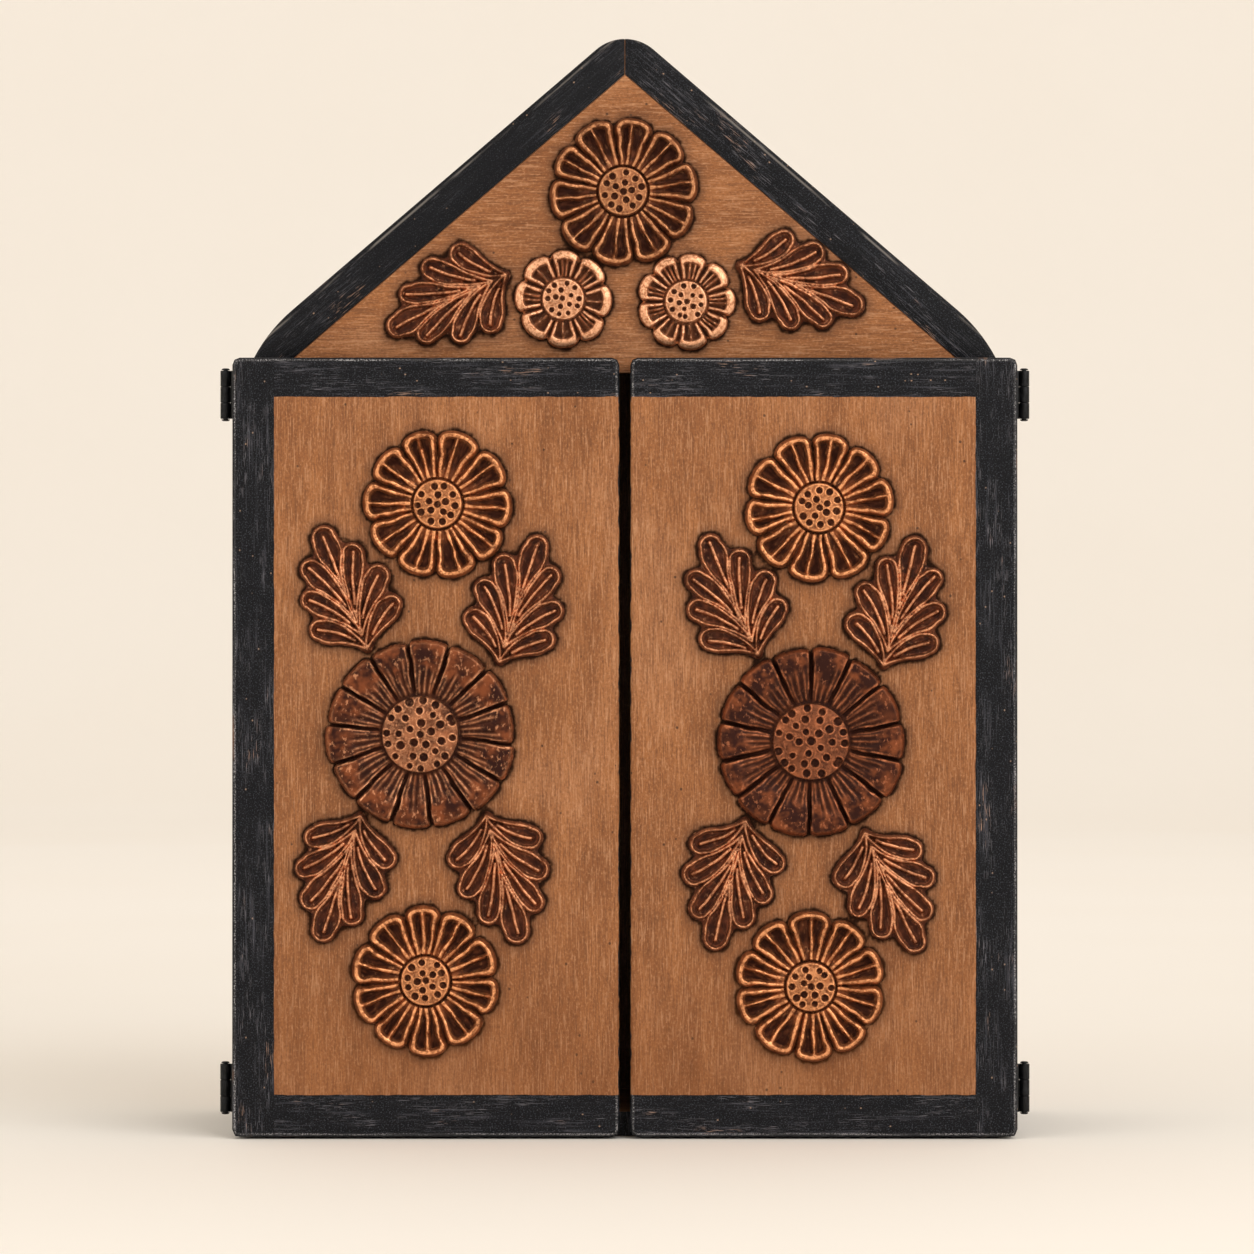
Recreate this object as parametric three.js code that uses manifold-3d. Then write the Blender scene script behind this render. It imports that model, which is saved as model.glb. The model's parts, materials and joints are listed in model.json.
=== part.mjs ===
// Folding shrine box: a gabled wooden case that two hinged doors close in front,
// set with copper flowers and leaves in relief.
//
// Millimetres. The finished group has +Z up and its doors facing -Y, with the origin on the
// ground under the middle of the box. Everything is drawn in elevation, as seen from the front:
// x to the right, y up and z towards the viewer. The outer group turns that upright at the end.

import * as THREE from 'three';
import { mergeVertices } from 'three/addons/utils/BufferGeometryUtils.js';
import Module from 'manifold-3d';

const wasm = await Module();
wasm.setup();

const degree = Math.PI / 180;

// ---- Driving dimensions: the case ----

const caseWidth = 328.6;
const caseDepth = 120;
const eavesHeight = 327.2; // where the side and the roof would meet if the shoulder were sharp
const roofPitch = 40.6 * degree;
const boardThickness = 16; // sides and roof
const baseThickness = 10.5;
const backThickness = 8;
const shoulderRadius = 69;
const ridgeRadius = 18.5;
const pedimentThickness = 10;
const pedimentBottom = 321.5; // just below the tops of the doors
const pedimentGap = 0.2; // between the pediment panel and the roof boards around it

// ---- Driving dimensions: the doors ----

const doorThickness = 12;
const doorHeight = 326;
const doorGroundGap = 1;
const doorMeetingGap = 4.6;
const doorCornerRadius = 3;
const doorEdgeRound = 1.5;

// ---- Driving dimensions: the hinges ----

const leafGap = 1.6; // between a closed door and the case, filled by the two leaves
const leafThickness = 0.7;
const leafWidth = 14; // from the hinge axis to the leaf's inner edge
const hingeHeight = 20.2;
const hingeAxisOutset = 3.7; // from the door's outer edge
const barrelRadius = 2.2;
const boreRadius = 1.25;
const pinRadius = 1;
const pinHeadRadius = 1.7;
const pinHeadHeight = 0.7;
const knuckleCount = 3;
const knuckleGap = 0.3;
const upperHingeDrop = 15; // from the door's top to the hinge's middle
const lowerHingeRise = 19.5; // from the door's bottom to the hinge's middle

// ---- Driving dimensions: the ornaments ----

const daisyRadius = 32;
const daisyHeight = 5.4;
const largeFlowerRadius = 40;
const largeFlowerHeight = 6.5;
const smallFlowerRadius = 21;
const smallFlowerHeight = 4.6;
const leafLength = 55; // from the base of the leaf to the tip of its end lobe
const leafHeight = 4.6;
const lobeWidth = 11;

// ---- Planes and heights that follow from them ----

const totalDepth = caseDepth + leafGap + doorThickness + largeFlowerHeight;
const backPlane = -totalDepth / 2;
const casePlane = backPlane + caseDepth; // the front edges of the case
const hingePlane = casePlane + leafGap / 2;
const doorBackPlane = casePlane + leafGap;
const doorPlane = doorBackPlane + doorThickness;

const halfCase = caseWidth / 2;
const halfInside = halfCase - boardThickness;
const roofRise = Math.tan(roofPitch);
const roofInset = boardThickness / Math.cos(roofPitch); // the roof's thickness, measured upright
const ridgeHeight = eavesHeight + halfCase * roofRise;
const innerRidgeHeight = ridgeHeight - roofInset;
const innerEavesHeight = innerRidgeHeight - halfInside * roofRise;

const shoulderTurn = Math.PI / 2 - roofPitch; // from the upright side to the slope
const shoulderCentreX = halfCase - shoulderRadius;
const shoulderCentreY = eavesHeight - shoulderRadius * Math.tan(shoulderTurn / 2);
const ridgeCentreY = ridgeHeight - ridgeRadius / Math.cos(roofPitch);

const doorWidth = (caseWidth - doorMeetingGap) / 2;
const hingeAxisX = halfCase + hingeAxisOutset;
const hingeHeights = {
  upper: doorGroundGap + doorHeight - upperHingeDrop,
  lower: doorGroundGap + lowerHingeRise,
};

// ---- Materials ----

function finish(color, roughness, metalness) {
  return new THREE.MeshStandardMaterial({ color, roughness, metalness });
}

const finishes = {
  blackPaint: finish(0x2a2a2c, 0.55, 0),
  stainedWood: finish(0x9e6840, 0.6, 0),
  rawWood: finish(0xa9805a, 0.75, 0),
  blackIron: finish(0x1d1c1c, 0.45, 0.4),
  paleCopper: finish(0xc98a63, 0.35, 0.9),
  goldenCopper: finish(0xb5713f, 0.35, 0.9),
  darkCopper: finish(0x7a4630, 0.4, 0.9),
};

// ---- Making and joining solids ----

// The geometry with positions only, its shared vertices merged and its collapsed faces dropped.
function welded(geometry) {
  const bare = new THREE.BufferGeometry();
  bare.setAttribute('position', geometry.getAttribute('position'));
  bare.setIndex(geometry.index);
  const merged = mergeVertices(bare, 1e-3);
  const corners = merged.index.array;
  const kept = [];
  for (let i = 0; i < corners.length; i += 3) {
    const [a, b, c] = corners.slice(i, i + 3);
    if (a !== b && b !== c && c !== a) kept.push(a, b, c);
  }
  merged.setIndex(kept);
  return merged;
}

function solidOf(geometry) {
  const closed = welded(geometry);
  return new wasm.Manifold(new wasm.Mesh({
    numProp: 3,
    vertProperties: closed.getAttribute('position').array,
    triVerts: new Uint32Array(closed.index.array),
  }));
}

function joined(geometries) {
  const whole = geometries.map(solidOf).reduce((sum, next) => sum.add(next));
  const mesh = whole.getMesh();
  const geometry = new THREE.BufferGeometry();
  geometry.setAttribute('position', new THREE.BufferAttribute(mesh.vertProperties, 3));
  geometry.setIndex(new THREE.BufferAttribute(mesh.triVerts, 1));
  geometry.computeVertexNormals();
  return geometry;
}

function addPiece(parent, name, geometry, material) {
  const mesh = new THREE.Mesh(geometry, material.clone());
  mesh.name = name;
  parent.add(mesh);
  return mesh;
}

// ---- The case ----

// The right-hand side: upright outside, rounding over to half-way round the shoulder.
function sideOutline() {
  const outline = new THREE.Shape();
  outline.moveTo(halfInside, 0);
  outline.lineTo(halfCase, 0);
  outline.absarc(shoulderCentreX, shoulderCentreY, shoulderRadius, 0, shoulderTurn / 2);
  outline.lineTo(halfInside, innerEavesHeight);
  return outline;
}

// The right-hand roof board, from the mitre at the ridge to the mitre at the shoulder and back.
function roofOutline() {
  const outline = new THREE.Shape();
  outline.moveTo(0, innerRidgeHeight);
  outline.lineTo(halfInside, innerEavesHeight);
  outline.absarc(
    shoulderCentreX, shoulderCentreY, shoulderRadius, shoulderTurn / 2, shoulderTurn,
  );
  outline.absarc(0, ridgeCentreY, ridgeRadius, shoulderTurn, Math.PI / 2);
  return outline;
}

// The whole house shape of the back.
function backOutline() {
  const outline = new THREE.Shape();
  outline.moveTo(-halfCase, 0);
  outline.lineTo(halfCase, 0);
  outline.absarc(shoulderCentreX, shoulderCentreY, shoulderRadius, 0, shoulderTurn);
  outline.absarc(0, ridgeCentreY, ridgeRadius, shoulderTurn, Math.PI - shoulderTurn);
  outline.absarc(
    -shoulderCentreX, shoulderCentreY, shoulderRadius, Math.PI - shoulderTurn, Math.PI,
  );
  return outline;
}

// The triangle between the roof boards.
function pedimentOutline() {
  const top = innerRidgeHeight - pedimentGap / Math.cos(roofPitch);
  const halfBottom = (top - pedimentBottom) / roofRise;
  const outline = new THREE.Shape();
  outline.moveTo(-halfBottom, pedimentBottom);
  outline.lineTo(halfBottom, pedimentBottom);
  outline.lineTo(0, top);
  return outline;
}

function board(outline, thickness) {
  return new THREE.ExtrudeGeometry(outline, {
    depth: thickness,
    bevelEnabled: false,
    curveSegments: 4,
  });
}

function addCase(parent) {
  const { blackPaint, stainedWood, rawWood } = finishes;
  const wallDepth = caseDepth - backThickness;
  const wallBack = backPlane + backThickness;

  const back = addPiece(parent, 'case_back_board', board(backOutline(), backThickness), rawWood);
  back.position.z = backPlane;

  for (const [side, mirror] of [['left', -1], ['right', 1]]) {
    const wall = addPiece(parent, `case_${side}_side`, board(sideOutline(), wallDepth), blackPaint);
    const roof = addPiece(parent, `case_${side}_roof`, board(roofOutline(), wallDepth), blackPaint);
    for (const piece of [wall, roof]) {
      piece.position.z = wallBack;
      piece.scale.x = mirror;
    }
  }

  const baseShape = new THREE.BoxGeometry(2 * halfInside, baseThickness, wallDepth);
  const base = addPiece(parent, 'case_base_board', baseShape, rawWood);
  base.position.set(0, baseThickness / 2, wallBack + wallDepth / 2);

  const panelShape = board(pedimentOutline(), pedimentThickness);
  const panel = addPiece(parent, 'pediment_panel', panelShape, stainedWood);
  panel.position.z = casePlane - pedimentThickness;
}

// ---- The doors ----

// One door from its meeting edge, at x = 0, to its hinged edge, with all its edges eased.
function doorShape() {
  const r = doorCornerRadius;
  const outline = new THREE.Shape();
  outline.absarc(doorWidth - r, r, r, -Math.PI / 2, 0);
  outline.absarc(doorWidth - r, doorHeight - r, r, 0, Math.PI / 2);
  outline.absarc(r, doorHeight - r, r, Math.PI / 2, Math.PI);
  outline.absarc(r, r, r, Math.PI, 1.5 * Math.PI);
  const geometry = new THREE.ExtrudeGeometry(outline, {
    depth: doorThickness - 2 * doorEdgeRound,
    bevelThickness: doorEdgeRound,
    bevelSize: doorEdgeRound,
    bevelOffset: -doorEdgeRound,
    bevelSegments: 1,
    curveSegments: 2,
  });
  return geometry.translate(0, 0, doorEdgeRound);
}

function addDoors(parent) {
  for (const [side, mirror] of [['left', -1], ['right', 1]]) {
    const door = addPiece(parent, `${side}_door`, doorShape(), finishes.stainedWood);
    door.position.set((mirror * doorMeetingGap) / 2, doorGroundGap, doorBackPlane);
    door.scale.x = mirror;
  }
}

// ---- The hinges ----

// Hinge parts are drawn for the right-hand side round the hinge axis, which runs along y.
const knuckleHeight = (hingeHeight - (knuckleCount - 1) * knuckleGap) / knuckleCount;
const knucklePitch = knuckleHeight + knuckleGap;

// Stands a section drawn in x and z upright, as high as asked and middled on y = middle.
function upright(section, height, middle) {
  const geometry = new THREE.ExtrudeGeometry(section, {
    depth: height,
    bevelEnabled: false,
    curveSegments: 4,
  });
  return geometry.rotateX(-Math.PI / 2).translate(0, middle - height / 2, 0);
}

// A leaf with its own knuckles. side is 1 for the leaf on the case and -1 for the one on the door.
function hingeLeaf(side, ownKnuckles) {
  const near = side * (leafGap / 2 - leafThickness);
  const far = side * (leafGap / 2);
  const plateEdge = -(barrelRadius + knuckleGap);

  const plate = new THREE.Shape();
  plate.moveTo(-leafWidth, near);
  plate.lineTo(plateEdge, near);
  plate.lineTo(plateEdge, far);
  plate.lineTo(-leafWidth, far);

  const neck = new THREE.Shape();
  const neckEnd = -(barrelRadius + boreRadius) / 2;
  neck.moveTo(plateEdge, near);
  neck.lineTo(neckEnd, near);
  neck.lineTo(neckEnd, far);
  neck.lineTo(plateEdge, far);

  const barrel = new THREE.Shape();
  barrel.absarc(0, 0, barrelRadius, 0, 2 * Math.PI);
  const bore = new THREE.Path();
  bore.absarc(0, 0, boreRadius, 0, 2 * Math.PI);
  barrel.holes.push(bore);

  const shapes = [upright(plate, hingeHeight, 0)];
  for (const knuckle of ownKnuckles) {
    const middle = (knuckle - (knuckleCount - 1) / 2) * knucklePitch;
    shapes.push(upright(neck, knuckleHeight, middle));
    shapes.push(upright(barrel, knuckleHeight, middle));
  }
  return joined(shapes);
}

// A pin with a flat head above and below the knuckles.
function hingePin() {
  const headFoot = hingeHeight / 2 + knuckleGap;
  const headTop = headFoot + pinHeadHeight;
  const profile = [
    [0, -headTop],
    [pinHeadRadius, -headTop],
    [pinHeadRadius, -headFoot],
    [pinRadius, -headFoot],
    [pinRadius, headFoot],
    [pinHeadRadius, headFoot],
    [pinHeadRadius, headTop],
    [0, headTop],
  ].map(([x, y]) => new THREE.Vector2(x, y));
  return welded(new THREE.LatheGeometry(profile, 8));
}

function addHinges(parent) {
  const caseLeaf = hingeLeaf(1, [0, 2]);
  const doorLeaf = hingeLeaf(-1, [1]);
  const pin = hingePin();
  for (const [side, mirror] of [['left', -1], ['right', 1]]) {
    for (const [level, height] of Object.entries(hingeHeights)) {
      const hinge = new THREE.Group();
      hinge.position.set(mirror * hingeAxisX, height, hingePlane);
      hinge.scale.x = mirror;
      parent.add(hinge);
      const name = `${side}_${level}_hinge`;
      addPiece(hinge, `${name}_case_leaf`, caseLeaf, finishes.blackIron);
      addPiece(hinge, `${name}_door_leaf`, doorLeaf, finishes.blackIron);
      addPiece(hinge, `${name}_pin`, pin, finishes.blackIron);
    }
  }
}

// ---- Flowers ----

// A flower is turned as a lathe shape and then carved: each petal has four meridians, which
// follow the profiles of its ridge, its channel, the groove between petals and its other channel.
// A profile runs from the middle of the back round the edge to the middle of the disc, in parts
// of the flower's radius and of its height.
function flowerProfiles(kind) {
  const d = kind.discRadius / kind.radius;
  const disc = [[d, 0.78], [0, 1]];
  if (kind.squarePetals) {
    return {
      ridge: [[0, 0], [1, 0], [0.97, 0.68], [0.72, 0.78], [d + 0.05, 0.42], ...disc],
      channel: [[0, 0], [0.99, 0], [0.96, 0.66], [0.72, 0.7], [d + 0.05, 0.36], ...disc],
      groove: [[0, 0], [0.95, 0], [0.92, 0.2], [0.72, 0.25], [d + 0.05, 0.28], ...disc],
    };
  }
  return {
    ridge: [[0, 0], [1, 0], [1, 0.6], [0.92, 0.95], [0.66, 0.85], [d + 0.06, 0.5], ...disc],
    channel: [[0, 0], [0.97, 0], [0.97, 0.6], [0.89, 0.95], [0.68, 0.5], [d + 0.06, 0.38], ...disc],
    groove: [[0, 0], [0.85, 0], [0.84, 0.25], [0.8, 0.3], [0.6, 0.35], [d + 0.06, 0.3], ...disc],
  };
}

function flowerShape(kind) {
  const { ridge, channel, groove } = flowerProfiles(kind);
  const meridians = [ridge, channel, groove, channel];
  const blank = ridge.map(([reach, rise]) => new THREE.Vector2(reach, rise));
  const geometry = new THREE.LatheGeometry(blank, meridians.length * kind.petals, Math.PI);
  const points = geometry.getAttribute('position');
  for (let i = 0; i < points.count; i += 1) {
    const turn = Math.floor(i / ridge.length);
    const [reach, rise] = meridians[turn % meridians.length][i % ridge.length];
    const angle = Math.PI + (turn / (meridians.length * kind.petals)) * 2 * Math.PI;
    const out = reach * kind.radius;
    points.setXYZ(i, out * Math.sin(angle), rise * kind.height, out * Math.cos(angle));
  }
  return welded(geometry).rotateX(Math.PI / 2);
}

const daisy = {
  radius: daisyRadius,
  discRadius: 10.5,
  height: daisyHeight,
  petals: 10,
  copper: finishes.goldenCopper,
};
const largeFlower = {
  radius: largeFlowerRadius,
  discRadius: 16.2,
  height: largeFlowerHeight,
  petals: 14,
  squarePetals: true,
  copper: finishes.darkCopper,
};
const smallFlower = {
  radius: smallFlowerRadius,
  discRadius: 9.1,
  height: smallFlowerHeight,
  petals: 8,
  copper: finishes.paleCopper,
};
const ninePetalFlower = { ...smallFlower, petals: 9 };

// ---- Leaves ----

// A leaf fans out from its base in seven lobes: one at the end and three pairs beside it, each
// pair shorter and further round than the last.
const lobePairs = 3;
const lobeSides = 6;
const palmHeight = 0.45 * leafHeight; // just under the middles of the dished lobes

function lobePath(side, pair) {
  const spread = side * (13.5 * pair + 1.2 * pair * pair) * degree;
  const reach = leafLength * (1 - 0.175 * pair);
  return new THREE.QuadraticBezierCurve(
    new THREE.Vector2(0, 0),
    new THREE.Vector2(Math.sin(spread / 3), Math.cos(spread / 3)).multiplyScalar(reach * 0.45),
    new THREE.Vector2(Math.sin(spread), Math.cos(spread)).multiplyScalar(reach),
  );
}

// One lobe: a turned dish with a raised rim, stretched along the outer part of its path and
// narrowed towards the base of the leaf.
function lobeShape(path, start) {
  const profile = [[0, 0], [1, 0], [0.82, 1], [0, 0.5]];
  const blank = profile.map(([x, y]) => new THREE.Vector2(x, y));
  const geometry = new THREE.LatheGeometry(blank, lobeSides, Math.PI / lobeSides);
  const points = geometry.getAttribute('position');
  const endReach = Math.cos(Math.PI / lobeSides); // of the sides that close the two ends
  for (let i = 0; i < points.count; i += 1) {
    const along = (points.getZ(i) / endReach + 1) / 2;
    const place = path.getPoint(start + (1 - start) * along);
    const heading = path.getTangent(start + (1 - start) * along);
    const across = points.getX(i) * (lobeWidth / 2) * (0.4 + 0.8 * along);
    points.setXYZ(
      i,
      place.x - across * heading.y,
      place.y + across * heading.x,
      points.getY(i) * leafHeight,
    );
  }
  return geometry;
}

// The palm of the leaf joins its lobes: it reaches a little way up each of them.
function palmShape(paths) {
  const foot = new THREE.Vector2(0, -2);
  const rim = paths.map((path) => path.getPoint(0.6));
  return board(new THREE.Shape([foot, ...rim]), palmHeight);
}

function leafShape() {
  const places = [];
  for (let pair = lobePairs; pair > 0; pair -= 1) places.push([1, pair]);
  for (let pair = 0; pair <= lobePairs; pair += 1) places.push([-1, pair]);
  const paths = places.map(([side, pair]) => lobePath(side, pair));
  const lobes = places.map(([, pair], i) => lobeShape(paths[i], 0.42 - 0.1 * pair));
  return joined([palmShape(paths), ...lobes]);
}

// ---- Where the ornaments lie ----

// Flowers by the middle of their disc and leaves by their base. turn is the way that the first
// petal or the end lobe points, in degrees clockwise from straight up.
const doorFlowers = [
  { name: 'left_door_top_flower', kind: daisy, x: -78.2, y: 265.6, turn: 20 },
  { name: 'left_door_large_flower', kind: largeFlower, x: -85.4, y: 169.4, turn: 6 },
  { name: 'left_door_bottom_flower', kind: daisy, x: -83.3, y: 66.4, turn: -4 },
  { name: 'right_door_top_flower', kind: daisy, x: 81.1, y: 264.1, turn: 9 },
  { name: 'right_door_large_flower', kind: largeFlower, x: 77.7, y: 166.3, turn: 13 },
  { name: 'right_door_bottom_flower', kind: daisy, x: 77.6, y: 64, turn: -1 },
];

const doorLeaves = [
  { name: 'left_door_upper_outer_leaf', x: -107.2, y: 205.1, turn: -21 },
  { name: 'left_door_upper_inner_leaf', x: -52.6, y: 200.2, turn: 17.5 },
  { name: 'left_door_lower_outer_leaf', x: -110.6, y: 135, turn: -162.5 },
  { name: 'left_door_lower_inner_leaf', x: -58.1, y: 135, turn: 165 },
  { name: 'right_door_upper_inner_leaf', x: 55.3, y: 202.9, turn: -24.8 },
  { name: 'right_door_upper_outer_leaf', x: 107.8, y: 198.8, turn: 15.3 },
  { name: 'right_door_lower_inner_leaf', x: 50.6, y: 132.5, turn: -165 },
  { name: 'right_door_lower_outer_leaf', x: 100.3, y: 128.4, turn: 156.6 },
];

const pedimentFlowers = [
  { name: 'pediment_flower', kind: daisy, x: -0.8, y: 397.4, turn: 9.5 },
  { name: 'pediment_left_small_flower', kind: smallFlower, x: -25.9, y: 352.2, turn: 2 },
  { name: 'pediment_right_small_flower', kind: ninePetalFlower, x: 25.3, y: 351, turn: 10 },
];

const pedimentLeaves = [
  { name: 'pediment_left_leaf', x: -49.9, y: 362.8, turn: -113.7 },
  { name: 'pediment_right_leaf', x: 48.6, y: 366.8, turn: 109 },
];

function addOrnaments(parent, plane, flowers, leaves) {
  for (const flower of flowers) {
    const mesh = addPiece(parent, flower.name, flowerShape(flower.kind), flower.kind.copper);
    mesh.position.set(flower.x, flower.y, plane);
    mesh.rotation.z = -flower.turn * degree;
  }
  const leafGeometry = leafShape();
  for (const leaf of leaves) {
    const mesh = addPiece(parent, leaf.name, leafGeometry, finishes.darkCopper);
    mesh.position.set(leaf.x, leaf.y, plane);
    mesh.rotation.z = -leaf.turn * degree;
  }
}

// ---- The whole box ----

const shrineBox = new THREE.Group();
shrineBox.rotation.x = Math.PI / 2;

addCase(shrineBox);
addDoors(shrineBox);
addHinges(shrineBox);
addOrnaments(shrineBox, doorPlane, doorFlowers, doorLeaves);
addOrnaments(shrineBox, casePlane, pedimentFlowers, pedimentLeaves);

export default shrineBox;
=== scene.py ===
"""Folding shrine box: a gabled wooden case with two hinged doors and copper flowers in relief.

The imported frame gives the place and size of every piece. This file gives each one its finished
shape and its material: eased and painted boards, hinges, chased copper flowers and leaves.
Heights and widths of relief are in millimetres; objects are in metres.
"""

import json
import math

import bmesh
import bpy
import numpy as np
from bpy.props import FloatProperty, FloatVectorProperty, IntProperty, PointerProperty
from mathutils import Matrix, Vector, noise


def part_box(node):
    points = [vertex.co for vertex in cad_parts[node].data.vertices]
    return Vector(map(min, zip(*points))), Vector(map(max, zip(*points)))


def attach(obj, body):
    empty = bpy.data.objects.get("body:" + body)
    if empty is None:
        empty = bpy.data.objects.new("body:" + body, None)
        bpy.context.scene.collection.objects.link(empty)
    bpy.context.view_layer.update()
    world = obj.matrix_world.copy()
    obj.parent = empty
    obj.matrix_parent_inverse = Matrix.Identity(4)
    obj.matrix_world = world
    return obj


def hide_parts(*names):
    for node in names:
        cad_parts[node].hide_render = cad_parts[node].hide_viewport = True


bl_info = {
    "name": "Folding Shrine Box",
    "version": (1, 0, 0),
    "blender": (4, 5, 0),
    "location": "3D View > Sidebar > Shrine Box",
    "description": "Builds the boards, hinges and copper ornaments of a gabled shrine box",
    "category": "Object",
}

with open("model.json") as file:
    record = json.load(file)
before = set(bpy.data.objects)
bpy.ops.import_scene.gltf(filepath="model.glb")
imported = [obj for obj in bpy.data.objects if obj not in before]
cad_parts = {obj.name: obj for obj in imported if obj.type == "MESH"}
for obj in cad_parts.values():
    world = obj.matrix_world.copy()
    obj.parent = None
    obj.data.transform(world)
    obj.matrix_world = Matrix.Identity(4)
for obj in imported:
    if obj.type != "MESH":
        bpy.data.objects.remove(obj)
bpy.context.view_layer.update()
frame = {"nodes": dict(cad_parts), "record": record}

MM = 0.001
SIDES = {"left": -1, "right": 1}  # the way each side faces along x
BODY_OF = {
    node: body
    for body, nodes in frame["record"]["behaviour"]["bodies"].items()
    for node in nodes
}

# The way each ornament's first petal or end lobe points, in degrees clockwise from straight up.
DAISY_TURNS = {
    "left_door_top_flower": 20,
    "left_door_bottom_flower": -4,
    "right_door_top_flower": 9,
    "right_door_bottom_flower": -1,
    "pediment_flower": 9.5,
}
LARGE_FLOWER_TURNS = {"left_door_large_flower": 6, "right_door_large_flower": 13}
SMALL_FLOWER_TURNS = {"pediment_left_small_flower": 2, "pediment_right_small_flower": 10}
LEAF_TURNS = {
    "left_door_upper_outer_leaf": -21,
    "left_door_upper_inner_leaf": 17.5,
    "left_door_lower_outer_leaf": -162.5,
    "left_door_lower_inner_leaf": 165,
    "right_door_upper_inner_leaf": -24.8,
    "right_door_upper_outer_leaf": 15.3,
    "right_door_lower_inner_leaf": -165,
    "right_door_lower_outer_leaf": 156.6,
    "pediment_left_leaf": -113.7,
    "pediment_right_leaf": 109,
}


def linear(code):
    """The linear red, green, blue and alpha of a colour written as sRGB hex."""
    parts = [int(code[i : i + 2], 16) / 255 for i in (1, 3, 5)]
    return tuple(p / 12.92 if p <= 0.04045 else ((p + 0.055) / 1.055) ** 2.4 for p in parts) + (1,)


def colour(name, description, code):
    return FloatVectorProperty(
        name=name, description=description, default=linear(code)[:3],
        subtype="COLOR", size=3, min=0, max=1,
    )


def length(name, description, millimetres):
    return FloatProperty(
        name=name, description=description, default=millimetres * MM,
        min=0, subtype="DISTANCE", unit="LENGTH",
    )


def power(name, description, watts):
    return FloatProperty(name=name, description=description, default=watts, subtype="POWER")


def opaque(rgb):
    return (*rgb, 1)


# ---- What a user may change ----


class ShrineBoards(bpy.types.PropertyGroup):
    """Sizes and colours of the boards."""

    side_border: length("Side border", "Width of the black border at a door's hinged edge", 17.6)
    top_border: length("Top border", "Width of the black border at a door's top", 16.5)
    bottom_border: length("Bottom border", "Width of the black border at a door's bottom", 17.6)
    door_corner: length("Door corner", "Radius of a door's corners", 3)
    door_edge: length("Door edge", "Radius that a door's edges are eased to", 1.6)
    board_edge: length("Board edge", "Radius that the outer edges of the case are eased to", 1.8)
    joint_edge: length("Joint edge", "Size of the small chamfer at a joint of the case", 0.35)
    surface_step: length("Surface step", "Spacing of the points on a door's face", 1.5)
    stain: colour("Stain", "Warm brown of the stained panels", "#a1683c")
    stain_dark: colour("Dark stain", "Darker grain of the stained panels", "#7d4c2a")
    bare_wood: colour("Bare wood", "Wood inside the case", "#a37a52")
    # The same colour is the painted contact shadow laid with the wax round the ornaments.
    wax_and_shadow: colour("Dirt", "Dark wax left round the ornaments", "#1f0f08")
    paint: colour("Paint", "Charcoal black paint", "#0b0d12")
    worn_paint: colour("Worn paint", "Paint rubbed thin on the grain", "#54555e")


class ShrineCopper(bpy.types.PropertyGroup):
    """Sizes and colours of the copper ornaments."""

    daisy_radius: length("Daisy radius", "Outer radius of a daisy", 32)
    daisy_disc: length("Daisy disc", "Radius of a daisy's disc", 10.5)
    large_radius: length("Large flower radius", "Outer radius of a large flower", 40)
    large_disc: length("Large flower disc", "Radius of a large flower's disc", 16.2)
    small_radius: length("Small flower radius", "Outer radius of a small flower", 21)
    small_disc: length("Small flower disc", "Radius of a small flower's disc", 9.1)
    leaf_length: length("Leaf length", "From a leaf's base to its tip", 56.5)
    daisy_petals: IntProperty(
        name="Daisy petals", description="Petals of a daisy", default=10, min=5
    )
    large_petals: IntProperty(
        name="Large flower petals", description="Petals of a large flower", default=14, min=5
    )
    gold: colour("Golden copper", "Rubbed ridges of the daisies", "#ffb37c")
    pale: colour("Pale copper", "Rubbed rims of the small flowers", "#ffc299")
    rose: colour("Rose copper", "Rubbed ridges of the leaves", "#eba77c")
    brown: colour("Brown copper", "Copper that is neither rubbed nor dirty", "#84492b")
    patina: colour("Patina", "Dark oxide in the hollows", "#2e130a")


class ShrineStage(bpy.types.PropertyGroup):
    """The room, lights and camera."""

    backdrop: colour("Backdrop", "Pale paper sweep", "#f7f5f2")
    camera_distance: length("Camera distance", "From the doors' faces to the camera", 2100)
    camera_height: length("Camera height", "Height of the camera over the ground", 206.9)
    camera_side: FloatProperty(
        name="Camera side", description="Offset of the camera to the right",
        default=0.9 * MM, subtype="DISTANCE", unit="LENGTH",
    )
    camera_tilt: FloatProperty(
        name="Camera tilt", description="How far the camera looks up",
        default=math.radians(0.2), subtype="ANGLE",
    )
    camera_lens: FloatProperty(
        name="Lens", description="Focal length", default=144.15 * MM, subtype="DISTANCE_CAMERA"
    )
    key_power: power("Key power", "Key light", 33.5)
    fill_power: power("Fill power", "Fill light", 13)
    wall_power: power("Wall power", "Light on the wall of the sweep", 20)


# ---- Making pieces ----


def smooth(low, high, x):
    """0 at low, 1 at high and an easy curve between them; low may be the larger."""
    t = np.clip((x - low) / (high - low), 0, 1)
    return t * t * (3 - 2 * t)


def bell(x, width):
    """1 at 0 and falling to either side, down to about a third at the width."""
    return np.exp(-((x / width) ** 2))


def blend(a, b, share):
    return a + (b - a) * share


def rounded_min(a, b, radius):
    """The smaller of two values, with the corner between them rounded."""
    h = np.clip(0.5 + 0.5 * (b - a) / radius, 0, 1)
    return b * (1 - h) + a * h - radius * h * (1 - h)


def wobble(x, z, size, seed):
    """Smooth unevenness between -1 and 1 whose bumps are about as wide as size."""
    places = np.stack([x.ravel() / size, z.ravel() / size], axis=1).tolist()
    values = [noise.noise(Vector((a, b, seed))) for a, b in places]
    return np.array(values).reshape(x.shape)


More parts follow.
